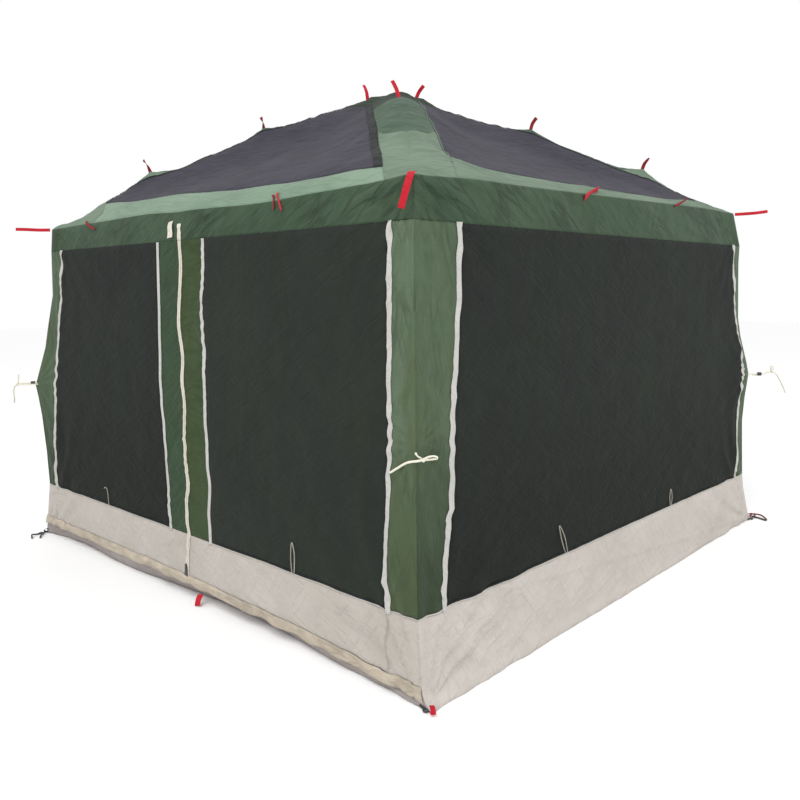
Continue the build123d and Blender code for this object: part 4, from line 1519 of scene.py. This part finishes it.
def tube_faces(around, rings):
    """Faces of a tube whose vertices go round it ring by ring."""
    steps = [(r * around, k, (k + 1) % around) for r in range(rings - 1) for k in range(around)]
    return [(ring + k, ring + after, ring + around + after, ring + around + k) for ring, k, after in steps]


def revolved(name, profile, place, axis, look):
    """A turned piece: a profile of (along, radius) about an axis from a place."""
    around = 24
    axis = Vector(axis).normalized()
    side = axis.orthogonal().normalized()
    other = axis.cross(side)
    verts = []
    for reach, radius in profile:
        for k in range(around):
            a = 2 * math.pi * k / around
            verts.append(Vector(place) + axis * reach + (side * math.cos(a) + other * math.sin(a)) * radius)
    piece = new_piece(name, verts, tube_faces(around, len(profile)), [look])
    merge(piece, FINE)
    return piece


def knot(name, centre, size, look):
    """A small pulled-tight knot: a ball with two winding grooves."""
    verts = []
    around, rings = 20, 13
    for r in range(rings):
        polar = math.pi * r / (rings - 1)
        for k in range(around):
            a = 2 * math.pi * k / around
            swell = 1 + 0.16 * math.sin(2 * a + 3 * polar) + 0.05 * math.sin(5 * a)
            flat = math.sin(polar)
            way = Vector((flat * math.cos(a), flat * math.sin(a), 0.85 * math.cos(polar)))
            verts.append(Vector(centre) + way * size * swell)
    piece = new_piece(name, verts, tube_faces(around, rings), [look])
    merge(piece, FINE)
    return piece


def strand(name, points, radius, look):
    """A short loose length of cord as a mesh, its ends closed."""
    line = smooth_line(points, 5)
    verts = []
    around = 10
    for i, place in enumerate(line):
        ahead = (line[min(i + 1, len(line) - 1)] - line[max(i - 1, 0)]).normalized()
        side = ahead.orthogonal().normalized() if not i else (side - ahead * side.dot(ahead)).normalized()
        other = ahead.cross(side)
        for k in range(around):
            a = 2 * math.pi * k / around
            verts.append(place + (side * math.cos(a) + other * math.sin(a)) * radius)
    ends = [tuple(range(around - 1, -1, -1)), tuple(range(len(verts) - around, len(verts)))]
    return new_piece(name, verts, tube_faces(around, len(line)) + ends, [look])


# Extra strands by each tie, as points (outwards, across, height)
STRANDS = {
    "front_right": [
        [
            (2.104, 0.024, 0.876), (2.092, 0.042, 0.882), (2.072, 0.064, 0.881), (2.057, 0.078, 0.873),
            (2.058, 0.074, 0.866),
        ],
        [(2.104, 0.020, 0.880), (2.118, 0.004, 0.892), (2.122, -0.002, 0.905)],
    ],
    "back_right": [
        [(2.170, 0.008, 0.922), (2.210, 0.009, 0.922), (2.250, 0.006, 0.932), (2.284, 0.004, 0.944)],
        [(2.284, 0.002, 0.948), (2.280, 0.006, 0.968), (2.292, 0.0, 0.972), (2.290, -0.004, 0.950)],
    ],
    "front_left": [
        [(2.170, 0.008, 0.921), (2.210, 0.010, 0.920), (2.255, 0.008, 0.918), (2.296, 0.004, 0.920)],
        [(2.298, 0.0, 0.924), (2.292, 0.004, 0.950), (2.290, 0.002, 0.980)],
        [(2.300, 0.004, 0.918), (2.316, 0.010, 0.908), (2.319, 0.008, 0.886)],
    ],
    "back_left": [
        [(2.170, 0.008, 0.921), (2.210, 0.010, 0.920), (2.255, 0.008, 0.918), (2.296, 0.004, 0.920)],
        [(2.298, 0.0, 0.924), (2.292, 0.004, 0.948), (2.296, 0.002, 0.970)],
    ],
}


def make_ties():
    for corner, (points, length, tied) in TIES.items():
        wrapped = corner == "front_right"
        route = [diagonal(corner, *point) for point in points]
        cord = cord_curve(f"tie_cord_{corner}", route, TIE_DIAMETER / 2, CORD)
        attach(cord, "root", "cream_cord", f"corner_tie_{corner}")
        size = 0.0085 if wrapped else 0.011
        with_pieces = [knot(f"tie_knot_{corner}", diagonal(corner, *tied), size, CORD)]
        for count, loose in enumerate(STRANDS[corner]):
            spots = [diagonal(corner, *point) for point in loose]
            with_pieces.append(strand(f"tie_strand_{corner}_{count + 1}", spots, 0.0036, CORD))
        for piece in with_pieces:
            attach(piece, "root", "cream_cord")
        if not wrapped:
            start = diagonal(corner, LOCK_D - 0.012, 0, TIE_LEVEL)
            lock = revolved(f"lock_{corner}", LOCK_PROFILE, start, diagonal(corner, 1, 0, 0), BLACK)
            attach(lock, "root", "black_plastic", "cord_locks")
            with_pieces.append(lock)
        tuple(route[0])


add_camera()
add_studio()
finish_cad_nodes()
make_ties()
make_valances()
make_windows()
make_corner_strips()
make_skirts()
make_sill_flap()
make_door_leaf("left")
make_door_leaf("right")
make_tapes()
make_bindings()
make_roof()
make_hip_bands()
make_cap()
make_roof_hems()
make_hip_tabs()
make_eave_tabs()
make_corner_straps()
make_ground_loops()
make_hooks()
make_door_loop()
make_slider()
make_window_loops()
make_door_strap()
